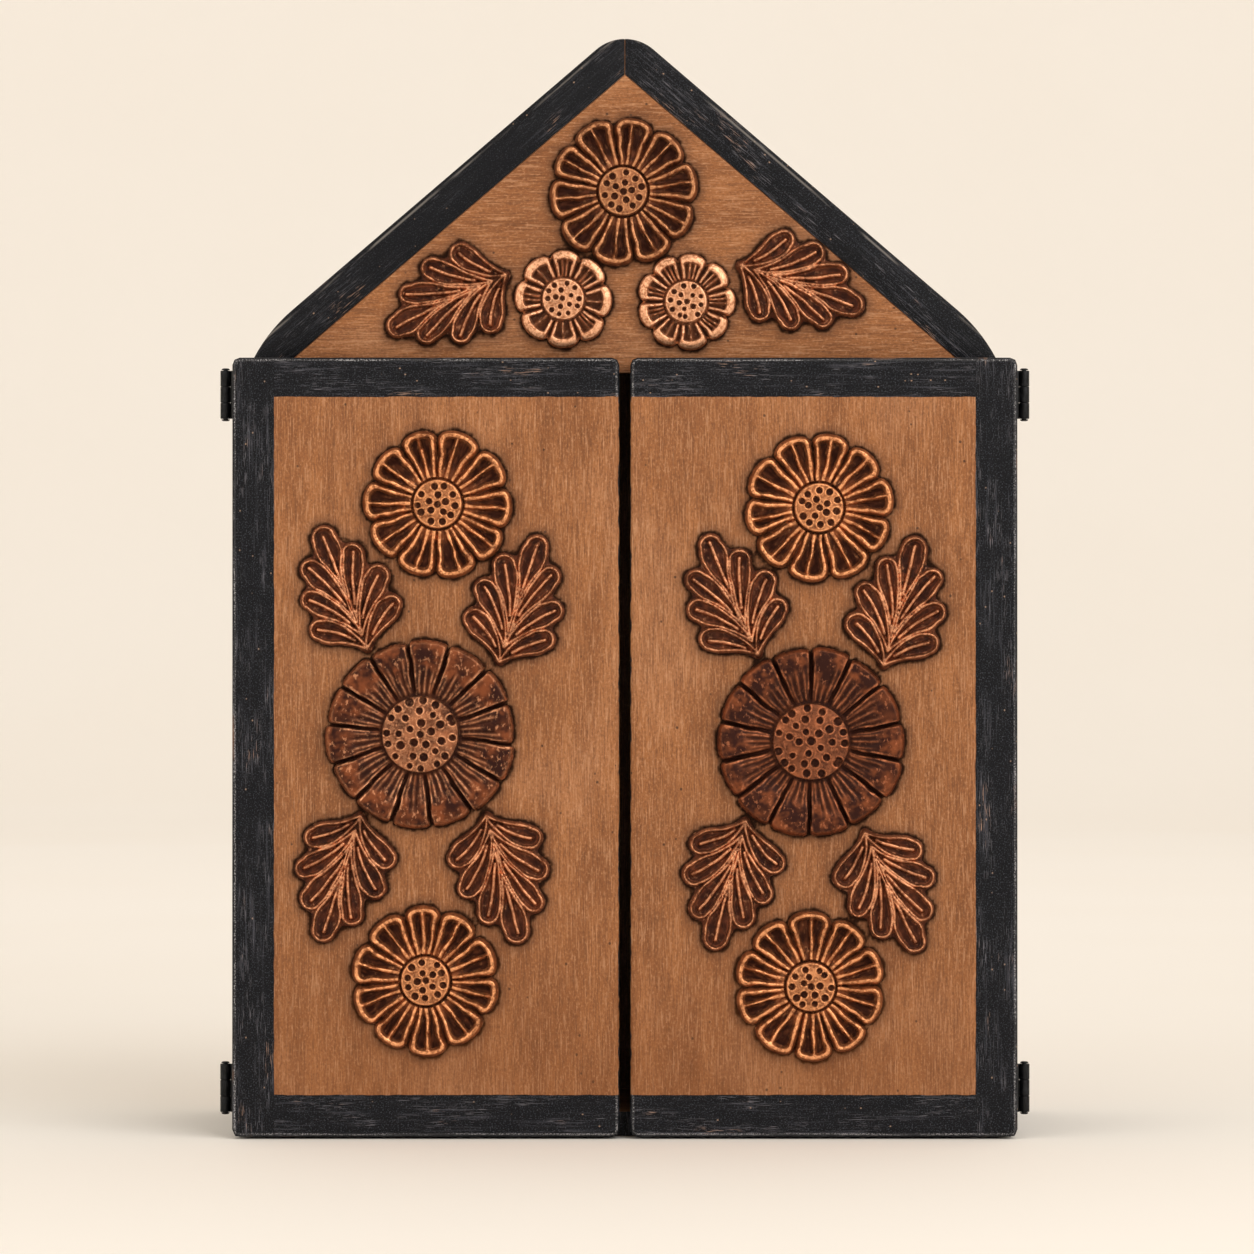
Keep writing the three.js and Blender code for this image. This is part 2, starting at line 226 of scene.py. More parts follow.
def finished(bm, name, stands_for, materials, smooth_below=40):
    """Turns a bmesh into a piece at the origin that rides with the nodes it stands for."""
    mesh = bpy.data.meshes.new(name)
    bm.to_mesh(mesh)
    bm.free()
    for material in materials:
        mesh.materials.append(material)
    mesh.polygons.foreach_set("use_smooth", [True] * len(mesh.polygons))
    mesh.set_sharp_from_angle(angle=math.radians(smooth_below))
    piece = bpy.data.objects.new(name, mesh)
    bpy.context.scene.collection.objects.link(piece)
    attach(piece, BODY_OF[stands_for[0]])
    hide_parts(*stands_for)
    return piece


def of_kind(kind, items):
    return [item for item in items if isinstance(item, kind)]


def open_edges(bm):
    return [edge for edge in bm.edges if edge.is_boundary]


def round_over(bm, edges, radius, segments):
    bmesh.ops.bevel(
        bm, geom=edges, offset=radius, segments=segments, profile=0.5, affect="EDGES",
        material=-1, clamp_overlap=True,
    )


def cut_off(bm, point, way):
    """Cuts away everything past a plane through a point."""
    bmesh.ops.bisect_plane(
        bm, geom=[*bm.verts, *bm.edges, *bm.faces], dist=1e-7,
        plane_co=point, plane_no=way, clear_outer=True,
    )


def set_layer(bm, name, values):
    layer = bm.verts.layers.float.new(name)
    for vert, value in zip(bm.verts, values):
        vert[layer] = value


def coordinates(items):
    return np.array([item.co for item in items]).reshape(-1, 3)


# ---- Materials ----

DARK_GRAIN, LIGHT_GRAIN = "#4f3120", "#cf9e78"
PAINT_RELIEF, PAINT_SPECULAR = 0.25, 0.14  # millimetres; brushed paint is nearly matt


def add(tree, kind, inputs=None, **settings):
    """Adds a node. Each input is a value, or a socket of another node to link from."""
    node = tree.nodes.new(kind)
    for name, value in settings.items():
        setattr(node, name, value)
    for name, value in (inputs or {}).items():
        if isinstance(value, bpy.types.NodeSocket):
            tree.links.new(value, node.inputs[name])
        else:
            node.inputs[name].default_value = value
    return node


def math_of(tree, operation, *values):
    return add(tree, "ShaderNodeMath", dict(enumerate(values)), operation=operation).outputs[0]


def times(tree, *values):
    return math_of(tree, "MULTIPLY", *values)


def plus(tree, *values):
    return math_of(tree, "ADD", *values)


def spread(tree, value, low, high, to_low=0.0, to_high=1.0):
    """Stretches the part of a pattern between low and high, with soft ends."""
    inputs = {0: value, 1: low, 2: high, 3: to_low, 4: to_high}
    return add(tree, "ShaderNodeMapRange", inputs, interpolation_type="SMOOTHSTEP").outputs[0]


def band(tree, distance, begin, full, fade, end):
    """A line along an edge: 1 from full to fade and 0 at begin and end, in millimetres."""
    rise = spread(tree, distance, begin * MM, full * MM)
    return times(tree, rise, spread(tree, distance, end * MM, fade * MM))


def tint(tree, share, first, second):
    """Lays one colour over another by a share."""
    return add(tree, "ShaderNodeMix", {0: share, 6: first, 7: second}, data_type="RGBA").outputs[2]


def laid_along(tree, place, across, along, axis, turn, shift=0.0):
    """Coordinates along a board in which one unit is a mark's size, given in millimetres."""
    sizes = [across * MM] * 3
    sizes["xyz".index(axis)] = along * MM
    inputs = {"Vector": place, "Location": (shift,) * 3, "Rotation": (0, turn, 0), "Scale": sizes}
    return add(tree, "ShaderNodeMapping", inputs, vector_type="TEXTURE").outputs[0]


def streaks(tree, place, across, along, axis="z", turn=0.0, detail=3.0, shift=0.0):
    """A pattern drawn out along a board; across and along are one streak's size."""
    laid = laid_along(tree, place, across, along, axis, turn, shift)
    inputs = {"Vector": laid, "Scale": 1.0, "Detail": detail, "Roughness": 0.6}
    return add(tree, "ShaderNodeTexNoise", inputs).outputs[0]


def flecks(tree, place, across, along, axis="z", turn=0.0, reach=0.25, share=0.5):
    """Small scattered marks: 1 in the middle of a mark and 0 between marks."""
    laid = laid_along(tree, place, across, along, axis, turn)
    cells = add(tree, "ShaderNodeTexVoronoi", {"Vector": laid, "Scale": 1.0})
    mark = spread(tree, cells.outputs["Distance"], reach, reach * 0.5)
    chosen = add(tree, "ShaderNodeSeparateColor", {0: cells.outputs["Color"]}).outputs[0]
    return times(tree, mark, math_of(tree, "LESS_THAN", chosen, share))


def new_tree(name):
    material = bpy.data.materials.new(name)
    material.use_nodes = True
    tree = material.node_tree
    tree.nodes.clear()
    place = add(tree, "ShaderNodeTexCoord").outputs["Object"]
    return material, tree, place


def surface_of(tree, shade, roughness, height, relief, metallic=0.0, specular=0.5):
    """A surface whose bump is relief millimetres deep."""
    bump = add(tree, "ShaderNodeBump", {"Height": height, "Distance": relief * MM, "Strength": 1.0})
    inputs = {
        "Base Color": shade, "Roughness": roughness, "Metallic": metallic,
        "Normal": bump.outputs[0], "Specular IOR Level": specular,
    }
    return add(tree, "ShaderNodeBsdfPrincipled", inputs).outputs[0]


def close_tree(tree, *look, **settings):
    """Ends a material in one surface."""
    surface = surface_of(tree, *look, **settings)
    add(tree, "ShaderNodeOutputMaterial", {"Surface": surface})


def wood_look(tree, place, light, dark, axis="z", turn=0.0):
    """Stained close-grained wood: soft figure, short fibres, hairlines and a few open pores."""
    figure = streaks(tree, place, 9, 70, axis, turn, detail=2)
    cloud = streaks(tree, place, 55, 80, axis, turn, detail=2, shift=0.37)
    fibre = streaks(tree, place, 0.6, 9, axis, turn, detail=2, shift=0.17)
    mottle = streaks(tree, place, 0.8, 1.4, axis, turn, detail=2, shift=0.29)
    hairs = streaks(tree, place, 0.5, 22, axis, turn, detail=2, shift=0.5)
    pits = flecks(tree, place, 7, 8, axis, turn, reach=0.1, share=0.5)
    shade = tint(tree, spread(tree, figure, 0.3, 0.7, 0.3, 0.95), dark, light)
    for pattern, start, full, share, over in (
        (cloud, 0.55, 0.35, 0.3, dark),
        (cloud, 0.5, 0.66, 0.22, linear("#c08a63")),
        (mottle, 0.5, 0.34, 0.32, linear(DARK_GRAIN)),
        (mottle, 0.54, 0.68, 0.32, linear(LIGHT_GRAIN)),
        (fibre, 0.48, 0.34, 0.36, linear(DARK_GRAIN)),
        (fibre, 0.54, 0.68, 0.36, linear(LIGHT_GRAIN)),
        (hairs, 0.36, 0.24, 0.5, linear("#d3a27c")),
    ):
        shade = tint(tree, spread(tree, pattern, start, full, 0, share), shade, over)
    marks = math_of(tree, "MAXIMUM", spread(tree, hairs, 0.63, 0.76, 0, 0.45), pits)
    shade = tint(tree, times(tree, marks, 0.75), shade, linear("#2a1a10"))
    roughness = spread(tree, figure, 0.3, 0.7, 0.66, 0.54)
    return shade, roughness, mottle


def paint_look(tree, place, boards, axis="z", turn=0.0, edge=None, wear_and_sheen=1.0):
    """Brushed charcoal paint over open grain, thin on the ridges and worn off some edges."""
    grain = streaks(tree, place, 0.8, 24, axis, turn, detail=2)
    brush = streaks(tree, place, 0.3, 7, axis, turn, detail=2, shift=0.4)
    clouds = streaks(tree, place, 9, 30, axis, turn, detail=2, shift=0.9)
    dust = streaks(tree, place, 0.5, 0.7, axis, turn, detail=2, shift=0.6)
    specks = flecks(tree, place, 2.6, 3.4, axis, turn, reach=0.15, share=0.14)
    thin = times(tree, spread(tree, grain, 0.52, 0.72), spread(tree, clouds, 0.35, 0.65))
    scratched = spread(tree, brush, 0.58, 0.66)
    lines = times(tree, scratched, spread(tree, clouds, 0.44, 0.62))
    scuffs = times(tree, scratched, spread(tree, clouds, 0.6, 0.68))
    shade = opaque(boards.paint)
    # The share of pale marks scales with the wear given: paint worn thin, and on the roof slopes
    # also painted sheen and shade.
    for marks, share, over in (
        (thin, 0.5 * wear_and_sheen, opaque(boards.worn_paint)),
        (lines, 0.55 * wear_and_sheen, linear("#84828a")),
        (scuffs, 0.75, linear("#a9866f")),
        (spread(tree, dust, 0.52, 0.72), 0.42 * wear_and_sheen, linear("#62656f")),
        (specks, 0.75, linear("#a58a76")),
    ):
        shade = tint(tree, times(tree, marks, share), shade, over)
    if edge is not None:
        # Pale dots just inside a door's rounded edge: paint rubbed thin, and partly a painted
        # highlight where the rounded edge catches the light. Brown chips by the edge are paint worn
        # off.
        near = spread(tree, edge, 1.7 * MM, 0.4 * MM)
        line = band(tree, edge, 0.5, 0.9, 1.3, 1.8)
        dots = spread(tree, dust, 0.46, 0.62)
        dotted_wear_and_highlight = times(tree, dots, spread(tree, grain, 0.4, 0.6))
        rubbed = times(tree, line, spread(tree, dotted_wear_and_highlight, 0.0, 0.8, 0.06, 0.75))
        shade = tint(tree, rubbed, shade, linear("#a8a8ac"))
        chipped = times(tree, near, spread(tree, clouds, 0.6, 0.7))
        shade = tint(tree, times(tree, chipped, 0.35), shade, linear("#9b7156"))
    roughness = spread(tree, grain, 0.35, 0.7, 0.45, 0.62)
    return shade, roughness, grain


def painted_wood(name, boards, axis="z", turn=0.0, slope_edge=None, wear_and_sheen=1.0):
    """Black brush paint on wood. Its satin shows the grain as long pale lines."""
    material, tree, place = new_tree(name)
    shade, roughness, height = paint_look(tree, place, boards, axis, turn, wear_and_sheen=wear_and_sheen)
    if slope_edge is not None:
        # A pale line just inside the outer edge of a sloping board: paint rubbed thin there by
        # hands, and partly a painted highlight along the rounded edge.
        inputs = {"Vector": place, "Rotation": (0, turn, 0)}
        laid = add(tree, "ShaderNodeMapping", inputs, vector_type="TEXTURE").outputs[0]
        rise = add(tree, "ShaderNodeSeparateXYZ", {0: laid}).outputs[2]
        inside = math_of(tree, "SUBTRACT", slope_edge, rise)
        line = band(tree, inside, 1.2, 1.8, 2.0, 2.6)
        broken = spread(tree, streaks(tree, place, 4, 30, axis, turn, shift=0.2), 0.42, 0.6)
        line = times(tree, line, broken)
        shade = tint(tree, times(tree, line, 0.6), shade, linear("#85807c"))
    close_tree(tree, shade, roughness, height, PAINT_RELIEF, specular=PAINT_SPECULAR)
    return material


def bare_board(name, boards, axis="z", turn=0.0):
    """Unpainted aged pine: dry and matt, with the same grain as the doors but no stain."""
    material, tree, place = new_tree(name)
    light = opaque(boards.bare_wood)
    shade, roughness, height = wood_look(tree, place, light, opaque(boards.stain_dark), axis, turn)
    close_tree(tree, shade, plus(tree, roughness, 0.12), height, relief=0.15)
    return material


def dirt_and_shadow_near(tree, place, shade, boards):
    """Darkens wood by its distance to the nearest ornament, held in the piece's own layer: dark
    wax, and a painted contact shadow where the copper meets the board.
    """
    gap = add(tree, "ShaderNodeAttribute", attribute_name="gap").outputs["Fac"]
    ragged = streaks(tree, place, 4.5, 4.5, detail=3, shift=0.13)
    spill = plus(tree, gap, spread(tree, ragged, 0.3, 0.7, -0.5 * MM, 0.5 * MM))
    # A brown haze a few millimetres wide: dirt, and painted shade round each ornament.
    dirt_and_shade_haze = spread(tree, spill, 5.5 * MM, 0.3 * MM, 0, 0.45)
    shade = tint(tree, dirt_and_shade_haze, shade, linear("#5a3a26"))
    # A near-black line hugging each ornament: dark wax, and a painted contact shadow.
    wax_and_shadow_core = spread(tree, spill, 1.7 * MM, 0.3 * MM, 0, 0.95)
    return tint(tree, wax_and_shadow_core, shade, opaque(boards.wax_and_shadow)), spread(tree, wax_and_shadow_core, 0, 1, 0.28, 0.05)


def door_wood(name, boards, low, high, outward):
    """A stained door: brown field, dark wax and painted shadow by the copper, and a black border on
    three sides.
    """
    material, tree, place = new_tree(name)
    light, dark = opaque(boards.stain), opaque(boards.stain_dark)
    shade, roughness, height = wood_look(tree, place, light, dark)
    shade, specular = dirt_and_shadow_near(tree, place, shade, boards)
    x, y, z = add(tree, "ShaderNodeSeparateXYZ", {0: place}).outputs
    side_line = (high.x if outward > 0 else -low.x) - boards.side_border
    past_side = math_of(tree, "SUBTRACT", times(tree, x, outward), side_line)
    past_top = math_of(tree, "SUBTRACT", z, high.z - boards.top_border)
    past_bottom = math_of(tree, "SUBTRACT", low.z + boards.bottom_border, z)
    into = math_of(tree, "MAXIMUM", past_side, math_of(tree, "MAXIMUM", past_top, past_bottom))
    uneven = streaks(tree, place, 7, 7, detail=3, shift=0.66)
    into = plus(tree, into, spread(tree, uneven, 0.3, 0.7, -0.16 * MM, 0.16 * MM))
    border = spread(tree, into, -0.12 * MM, 0.12 * MM)
    edge = add(tree, "ShaderNodeAttribute", attribute_name="edge").outputs["Fac"]
    ragged_edge = plus(tree, edge, spread(tree, uneven, 0.3, 0.7, 0, 0.8 * MM))
    lap = spread(tree, ragged_edge, 0.75 * MM, 0.45 * MM)
    # The brush went up the whole side border and along the top and bottom ones.
    is_level = math_of(tree, "LESS_THAN", past_side, 0.0)
    level = add(tree, "ShaderNodeCombineXYZ", {0: z, 1: y, 2: x}).outputs[0]
    inputs = {0: is_level, 4: place, 5: level}
    brushed = add(tree, "ShaderNodeMix", inputs, data_type="VECTOR").outputs[1]
    painted = paint_look(tree, brushed, boards, edge=edge)
    # Painted shade: the foot of each door is a little browner, where the light falls off towards
    # the bottom.
    painted_shade_low = spread(tree, z, low.z + 110 * MM, low.z + 15 * MM, 0, 0.3)
    shade = tint(tree, painted_shade_low, shade, linear("#77451f"))
    border = math_of(tree, "MAXIMUM", border, lap)
    wood = surface_of(tree, shade, roughness, height, relief=0.32, specular=specular)
    paint = surface_of(tree, *painted, PAINT_RELIEF, specular=PAINT_SPECULAR)
    mixed = add(tree, "ShaderNodeMixShader", {0: border, 1: wood, 2: paint}).outputs[0]
    add(tree, "ShaderNodeOutputMaterial", {"Surface": mixed})
    return material


def gable_wood(name, boards):
    """The stained triangle of the gable, its grain lying level."""
    material, tree, place = new_tree(name)
    light, dark = opaque(boards.stain), opaque(boards.stain_dark)
    shade, roughness, height = wood_look(tree, place, light, dark, "x")
    shade, specular = dirt_and_shadow_near(tree, place, shade, boards)
    close_tree(tree, shade, roughness, height, relief=0.28, specular=specular)
    return material


def black_iron(name):
    """Blackened mild steel: satin, a little paler where it has been handled."""
    material, tree, place = new_tree(name)
    mottle = streaks(tree, place, 2.2, 3.5, detail=4)
    scratch = streaks(tree, place, 0.4, 5, detail=2, shift=0.3)
    shade = tint(tree, spread(tree, mottle, 0.4, 0.75), linear("#0d0f12"), linear("#24262a"))
    roughness = spread(tree, mottle, 0.3, 0.7, 0.36, 0.55)
    height = plus(tree, mottle, times(tree, scratch, 0.4))
    close_tree(tree, shade, roughness, height, relief=0.08, metallic=0.6)
    return material


def aged_copper(name, copper, rubbed, tarnish, oxide, dark=0.0, patch=4):
    """Chased copper, chemically darkened and then rubbed back.

    The ridges are bright warm metal, the sides are brown oxide and the hollows are nearly black.
    """
    material, tree, place = new_tree(name)
    rub = add(tree, "ShaderNodeAttribute", attribute_name="rub").outputs["Fac"]
    hollow = add(tree, "ShaderNodeAttribute", attribute_name="hollow").outputs["Fac"]
    blotch = streaks(tree, place, patch, patch, detail=2)
    cloud = streaks(tree, place, 11, 11, detail=1, shift=0.5)
    grit = streaks(tree, place, 1.2, 1.2, detail=3, shift=0.8)
    pocks = flecks(tree, place, 1.5, 1.5, reach=0.22, share=0.22)
    scuffs = streaks(tree, place, 1.6, 2.4, detail=3, shift=0.25)
    brown, patina = opaque(copper.brown), opaque(copper.patina)
    tarnished = spread(tree, blotch, 0.34 + dark, 0.64 + dark)
    shade = tint(tree, tarnished, linear(oxide), linear(tarnish))
    shade = tint(tree, spread(tree, cloud, 0.45 + dark, 0.7 + dark, 0, 0.5), shade, brown)
    shade = tint(tree, spread(tree, scuffs, 0.56, 0.7, 0, 0.55), shade, rubbed)
    bright = tint(tree, spread(tree, grit, 0.36, 0.62, 0.2, 1), linear(tarnish), rubbed)
    bright = tint(tree, spread(tree, blotch, 0.45, 0.65, 0, 0.6), bright, rubbed)
    shown = times(tree, rub, spread(tree, grit, 0.2, 0.5, 0.6))
    shade = tint(tree, math_of(tree, "MINIMUM", shown, 1.0), shade, bright)
    dirty = times(tree, hollow, spread(tree, blotch, 0.2, 0.55, 0.8, 1.0))
    shade = tint(tree, dirty, shade, patina)
    shade = tint(tree, times(tree, pocks, 0.4), shade, patina)
    metallic = math_of(tree, "SUBTRACT", 0.85, times(tree, dirty, 0.6))
    specular = math_of(tree, "SUBTRACT", 0.5, times(tree, dirty, 0.4))
    roughness = spread(tree, math_of(tree, "SUBTRACT", shown, dirty), -1.0, 1.0, 0.72, 0.36)
    height = plus(tree, blotch, times(tree, grit, 0.4))
    close_tree(tree, shade, roughness, height, relief=0.28, metallic=metallic, specular=specular)
    return material


def sweep_paper(name, stage):
    """Pale matt background paper with the faintest cloudiness."""
    material, tree, place = new_tree(name)
    cloud = streaks(tree, place, 400, 400, detail=1)
    paper, warmer = opaque(stage.backdrop), linear("#e9dcc8")
    shade = tint(tree, spread(tree, cloud, 0.3, 0.7, 0, 0.04), paper, warmer)
    roughness = spread(tree, cloud, 0.3, 0.7, 0.82, 0.9)
    inputs = {"Base Color": shade, "Roughness": roughness, "Specular IOR Level": 0.2}
    surface = add(tree, "ShaderNodeBsdfPrincipled", inputs)
    add(tree, "ShaderNodeOutputMaterial", {"Surface": surface.outputs[0]})
    return material


# ---- Relief of the flowers ----

# Each kind's spacing and radius of the pits in its disc, in millimetres.
PITS = {"daisy": (3.8, 1.4), "large": (4.65, 1.65), "small": (3.3, 1.05)}
# The ends of the petals: how far out the notches reach, and two powers that square the ends.
PETAL_ENDS = {"daisy": (0.85, 2.4, 2.0), "large": (0.91, 6, 2.2), "small": (0.83, 2.1, 2.0)}
DISC_SHINE = {"daisy": 0.36, "large": 0.3, "small": 0.55}  # how rubbed the disc's face is
# Points round a flower, and rows of points over its disc and over its petals.
GRIDS = {"daisy": (300, 24, 44), "large": (392, 30, 44), "small": (252, 22, 30)}
OWN_PATCH = 31  # millimetres between the patches of unevenness that neighbouring petals use


def scattered(radius, spacing, rng):
    """Places for pits in a disc: rings round the middle, each pit nudged off its place."""
    places = [rng.normal(0, 0.25, 2)]
    for ring in range(1, int(radius / spacing) + 1):
        reach = ring * spacing
        count = 5 * ring
        start = rng.uniform(0, 2 * math.pi)
        for i in range(count):
            angle = start + 2 * math.pi * i / count + rng.normal(0, 0.09)
            far = min(reach + rng.normal(0, 0.3), radius)
            places.append((far * math.cos(angle), far * math.sin(angle)))
    return places


class Flower:
    """A flower's outline and relief about its own centre; heights are parts of its height."""

    def __init__(self, node, kind, petals, radius, disc, turn, seed):
        low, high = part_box(node)
        self.kind, self.petals = kind, petals
        self.radius, self.disc = radius / MM, disc / MM
        self.centre = ((low.x + high.x) / 2 / MM, (low.z + high.z) / 2 / MM)
        self.back, self.height = high.y / MM, (high.y - low.y) / MM
        self.turn, self.seed = math.radians(turn), seed
        rng = np.random.default_rng(seed)
        step = 2 * math.pi / petals
        self.seams = (np.arange(petals) + 0.5) * step + rng.normal(0, 0.035, petals) * step
        self.reach = 1 - rng.uniform(0, 0.028, petals)
        self.lean = rng.normal(0, 0.07, petals)
        self.lines = rng.uniform(0.32, 0.68, (petals, 5))
        self.line_wear = rng.uniform(0.35, 1.0, (petals, 5))
        self.split = rng.random(petals)
        spacing, pit = PITS[kind]
        self.pits = scattered(self.disc - 1.2 * pit, spacing, rng)
        self.pit_sizes = pit * rng.uniform(0.72 if kind == "large" else 0.88, 1.1, len(self.pits))

    def petal(self, angle):
        """Which petal an angle is in, how far across it (-1 to 1) and its half angle."""
        angle = (angle - self.turn) % (2 * math.pi)
        found = np.searchsorted(self.seams, angle)
        lows = np.concatenate([[self.seams[-1] - 2 * math.pi], self.seams])
        highs = np.concatenate([self.seams, [self.seams[0] + 2 * math.pi]])
        low, high = lows[found], highs[found]
        return found % self.petals, (2 * angle - low - high) / (high - low), (high - low) / 2

    def outline(self, angle):
        which, across, _ = self.petal(angle)
        notch, power, root = PETAL_ENDS[self.kind]
        curve = (1 - np.abs(across) ** power) ** (1 / root)
        return self.radius * self.reach[which] * (notch + (1 - notch) * curve)

    def gap(self, x, z):
        """Distance outside the outline, in millimetres, roughly."""
        dx, dz = x - self.centre[0], z - self.centre[1]
        return np.hypot(dx, dz) - self.outline(np.arctan2(dx, dz))

    def relief(self, dx, dz):
        """Height, rubbed share and dirt share at places about the centre, in millimetres."""
        sway_x = dx + 0.55 * wobble(dx, dz, 6, self.seed + 0.5)
        sway_z = dz + 0.55 * wobble(dx, dz, 6, self.seed + 9.5)
        r = np.hypot(sway_x, sway_z)
        which, across, half = self.petal(np.arctan2(sway_x, sway_z))
        half_width = np.maximum(r * half, 0.01)
        side = (1 - np.abs(across)) * half_width
        end = np.maximum(self.outline(np.arctan2(dx, dz)) - np.hypot(dx, dz), 0)
        reach = np.clip((r - self.disc) / (self.radius - self.disc), 0, 1)
        shape = getattr(self, self.kind)
        height, rub, hollow = shape(which, across, half_width, side, end, reach)
        return self.with_disc(dx, dz, height, rub, hollow)

    def daisy(self, which, across, half_width, side, end, reach):
        """Each petal is a dish with a rounded rim and one vein down its middle."""
        near_end = smooth(6, 2, end)
        channel = smooth(0.05, 0.45, reach)
        side_rim = np.clip(0.29 * half_width, 0.7, 2.0)
        x = rounded_min(side / side_rim, end / 2.0, 0.8)
        off_rim = np.abs(x - 1) * blend(side_rim, 2.0, near_end)
        crest = 0.62 + 0.33 * smooth(0, 0.75, reach)
        groove = 0.28 - 0.14 * near_end + 0.12 * smooth(0, 1, x)
        dish = blend(0.46, 0.2 + 0.16 * reach, channel)
        floor = blend(groove, dish, smooth(0.7, 1.4, x))
        off_middle = (across - self.lean[which]) * half_width
        uneven = wobble(off_middle, 22 * reach + OWN_PATCH * which, 3.5, self.seed + 2.5)
        swell = 1 + 0.3 * uneven
        from_rim = off_rim / swell / (blend(0.7, 0.9, smooth(0, 0.6, reach)) + 0.25 * near_end)
        from_vein = np.abs(off_middle) / swell / blend(0.64, 0.58, smooth(0, 0.6, reach))
        on_vein = smooth(0.95, 1.3, x + 0.3 * near_end)
        raised = np.maximum(smooth(1.9, 0.4, from_rim), 0.9 * smooth(2.4, 0.4, from_vein) * on_vein)
        height = floor + (crest - floor) * raised
        worn = wobble(off_middle, 22 * reach + OWN_PATCH * which, 2, self.seed + 8.5)
        rim = np.maximum(smooth(1.1, 0.3, from_rim), 0.5 * smooth(1.9, 1.0, from_rim))
        rub = np.maximum(rim, 0.95 * smooth(1.6, 0.4, from_vein) * (x > 1))
        rub = np.maximum(rub, 0.4 * near_end * smooth(0.25, 0.7, x) * (x < 1))
        rub = rub * np.clip(0.85 + 0.7 * worn, 0.25, 1.05)
        streak = wobble(off_middle, 5.5 * reach + OWN_PATCH * which, 0.8, self.seed + 4.5)
        away = np.minimum(from_rim / 1.8, from_vein / 2.2)
        depth = smooth(0.72, 1.0, away) * np.clip(0.9 + 0.5 * streak, 0, 1)
        hollow = (0.3 + 0.7 * channel) * depth * (x > 1)
        hollow = np.maximum(hollow, 0.85 * smooth(0.7, 0.15, side) * smooth(0.15, 0.5, reach))
        hollow = np.maximum(hollow, 0.6 * smooth(0.6, 0.1, end))
        return height, rub, hollow

    def large(self, which, across, half_width, side, end, reach):
        """Each petal is a broad face with three short lines cut outwards from the disc."""
        wall = smooth(0.45, 1.0, side)
        lip = smooth(0, 1.6, end)
        bulge = 0.09 * bell(reach - 0.74, 0.2) - 0.05 * across**2
        face = 0.42 + 0.32 * smooth(0.02, 0.5, reach) + bulge
        number = np.clip(np.round(across * 2), -1, 1).astype(int)
        off_line = np.abs(across * 2 - number) / 2 * half_width
        stop = self.lines[which, number + 2]
        drawn = smooth(stop + 0.12, stop - 0.1, reach)
        line = bell(off_line, 0.42) * drawn
        height = blend(0.14, blend(0.45, 1.0, lip) * (face + 0.1 * line - 0.12 * drawn), wall)
        lit = smooth(0.7, 0.95, side) * smooth(1.9, 1.3, side) * smooth(0.0, 0.4, reach)
        along = reach * 24 + which * OWN_PATCH
        patchy = 0.6 + 1.2 * wobble(across * half_width, along, 4, self.seed + 2)
        lit = lit * np.clip(patchy, 0.1, 1.2)
        rub = np.maximum(lit, 0.6 * bell(end - 1.0, 0.5) * wall)
        rub = np.maximum(rub, 0.9 * line * self.line_wear[which, number + 2])
        between_lines = drawn * (1 - bell(off_line, 0.6)) * smooth(1.2, 1.9, side)
        hollow = np.maximum(smooth(1.0, 0.5, side), 0.9 * between_lines)
        return height, rub, hollow

    def small(self, which, across, half_width, side, end, reach):
        """Each petal is a bare rim round a slot with one or two veins in it."""
        groove = 0.25 + 0.5 * reach
        across_rim = (side - groove) / np.clip(0.34 * half_width + 0.1, 0.8, 1.8)
        rise = smooth(-0.15, 0.4, np.minimum(across_rim, end / 1.6))
        slot = smooth(0.85, 1.2, np.minimum(across_rim, end / 3.9))
        rim = 0.52 + 0.36 * smooth(0, 0.6, reach) - 0.18 * smooth(2.8, 0.3, end)
        height = blend(0.16 + 0.2 * smooth(2.5, 0.5, end), rim, rise)
        split = np.where(self.split[which] > 0.2, 0.2, 0.0)
        place = np.abs(np.abs(across - self.lean[which]) - split) * half_width
        vein = bell(place, 0.55)
        height = blend(height, 0.24 + 0.46 * vein, slot)
        bare = 0.8 + 0.2 * bell(np.minimum(across_rim, end / 3.9) - 0.75, 0.25)
        bare = bare * (0.8 + 0.2 * smooth(0.3, 0.9, reach))
        rub = np.maximum(bare * rise * (1 - slot), 0.9 * vein * slot)
        seam = smooth(0.5, 0.1, rise) * smooth(0.5, 1.6, end)
        hollow = np.maximum(0.8 * slot * (1 - bell(place, 0.7)), 0.85 * seam)
        return height, rub, hollow

    def with_disc(self, dx, dz, height, rub, hollow):
        """Sets the pitted disc into a dark ring in the middle of the petals."""
        r, is_large = np.hypot(dx, dz), self.kind == "large"
        ring = smooth(self.disc + 0.1, self.disc + (1.7 if is_large else 0.9), r)
        height, rub = blend(0.26, height, ring), rub * ring
        hollow = blend(0.85 if is_large else 0.5, hollow, ring)
        top = 0.98 - (0.2 if is_large else 0.09) * (r / self.disc) ** 2
        bead = 0 if is_large else bell(r - self.disc + 0.8, 0.34)
        covered = smooth(self.disc + 0.1, self.disc - 0.5, r)
        pits, lips = np.zeros_like(r), np.zeros_like(r)
        for (px, pz), size in zip(self.pits, self.pit_sizes):
            far = np.hypot(dx - px, dz - pz)
            pits = np.maximum(pits, smooth(size + 0.12, size - 0.35, far))
            lips = np.maximum(lips, bell(far - size - 0.3, 0.34))
        top = top + 0.02 * bead + 0.02 * lips - 0.03 - 1.2 / self.height * pits
        face = DISC_SHINE[self.kind] * (1 + 0.9 * wobble(dx, dz, 3.5, self.seed + 6.5))
        shine = np.maximum(face, np.maximum(bead, lips))
        height = blend(height, top, covered)
        rub = blend(rub, shine * (1 - pits), covered)
        hollow = blend(hollow, 0.85 * pits, covered)
        return height, rub, hollow


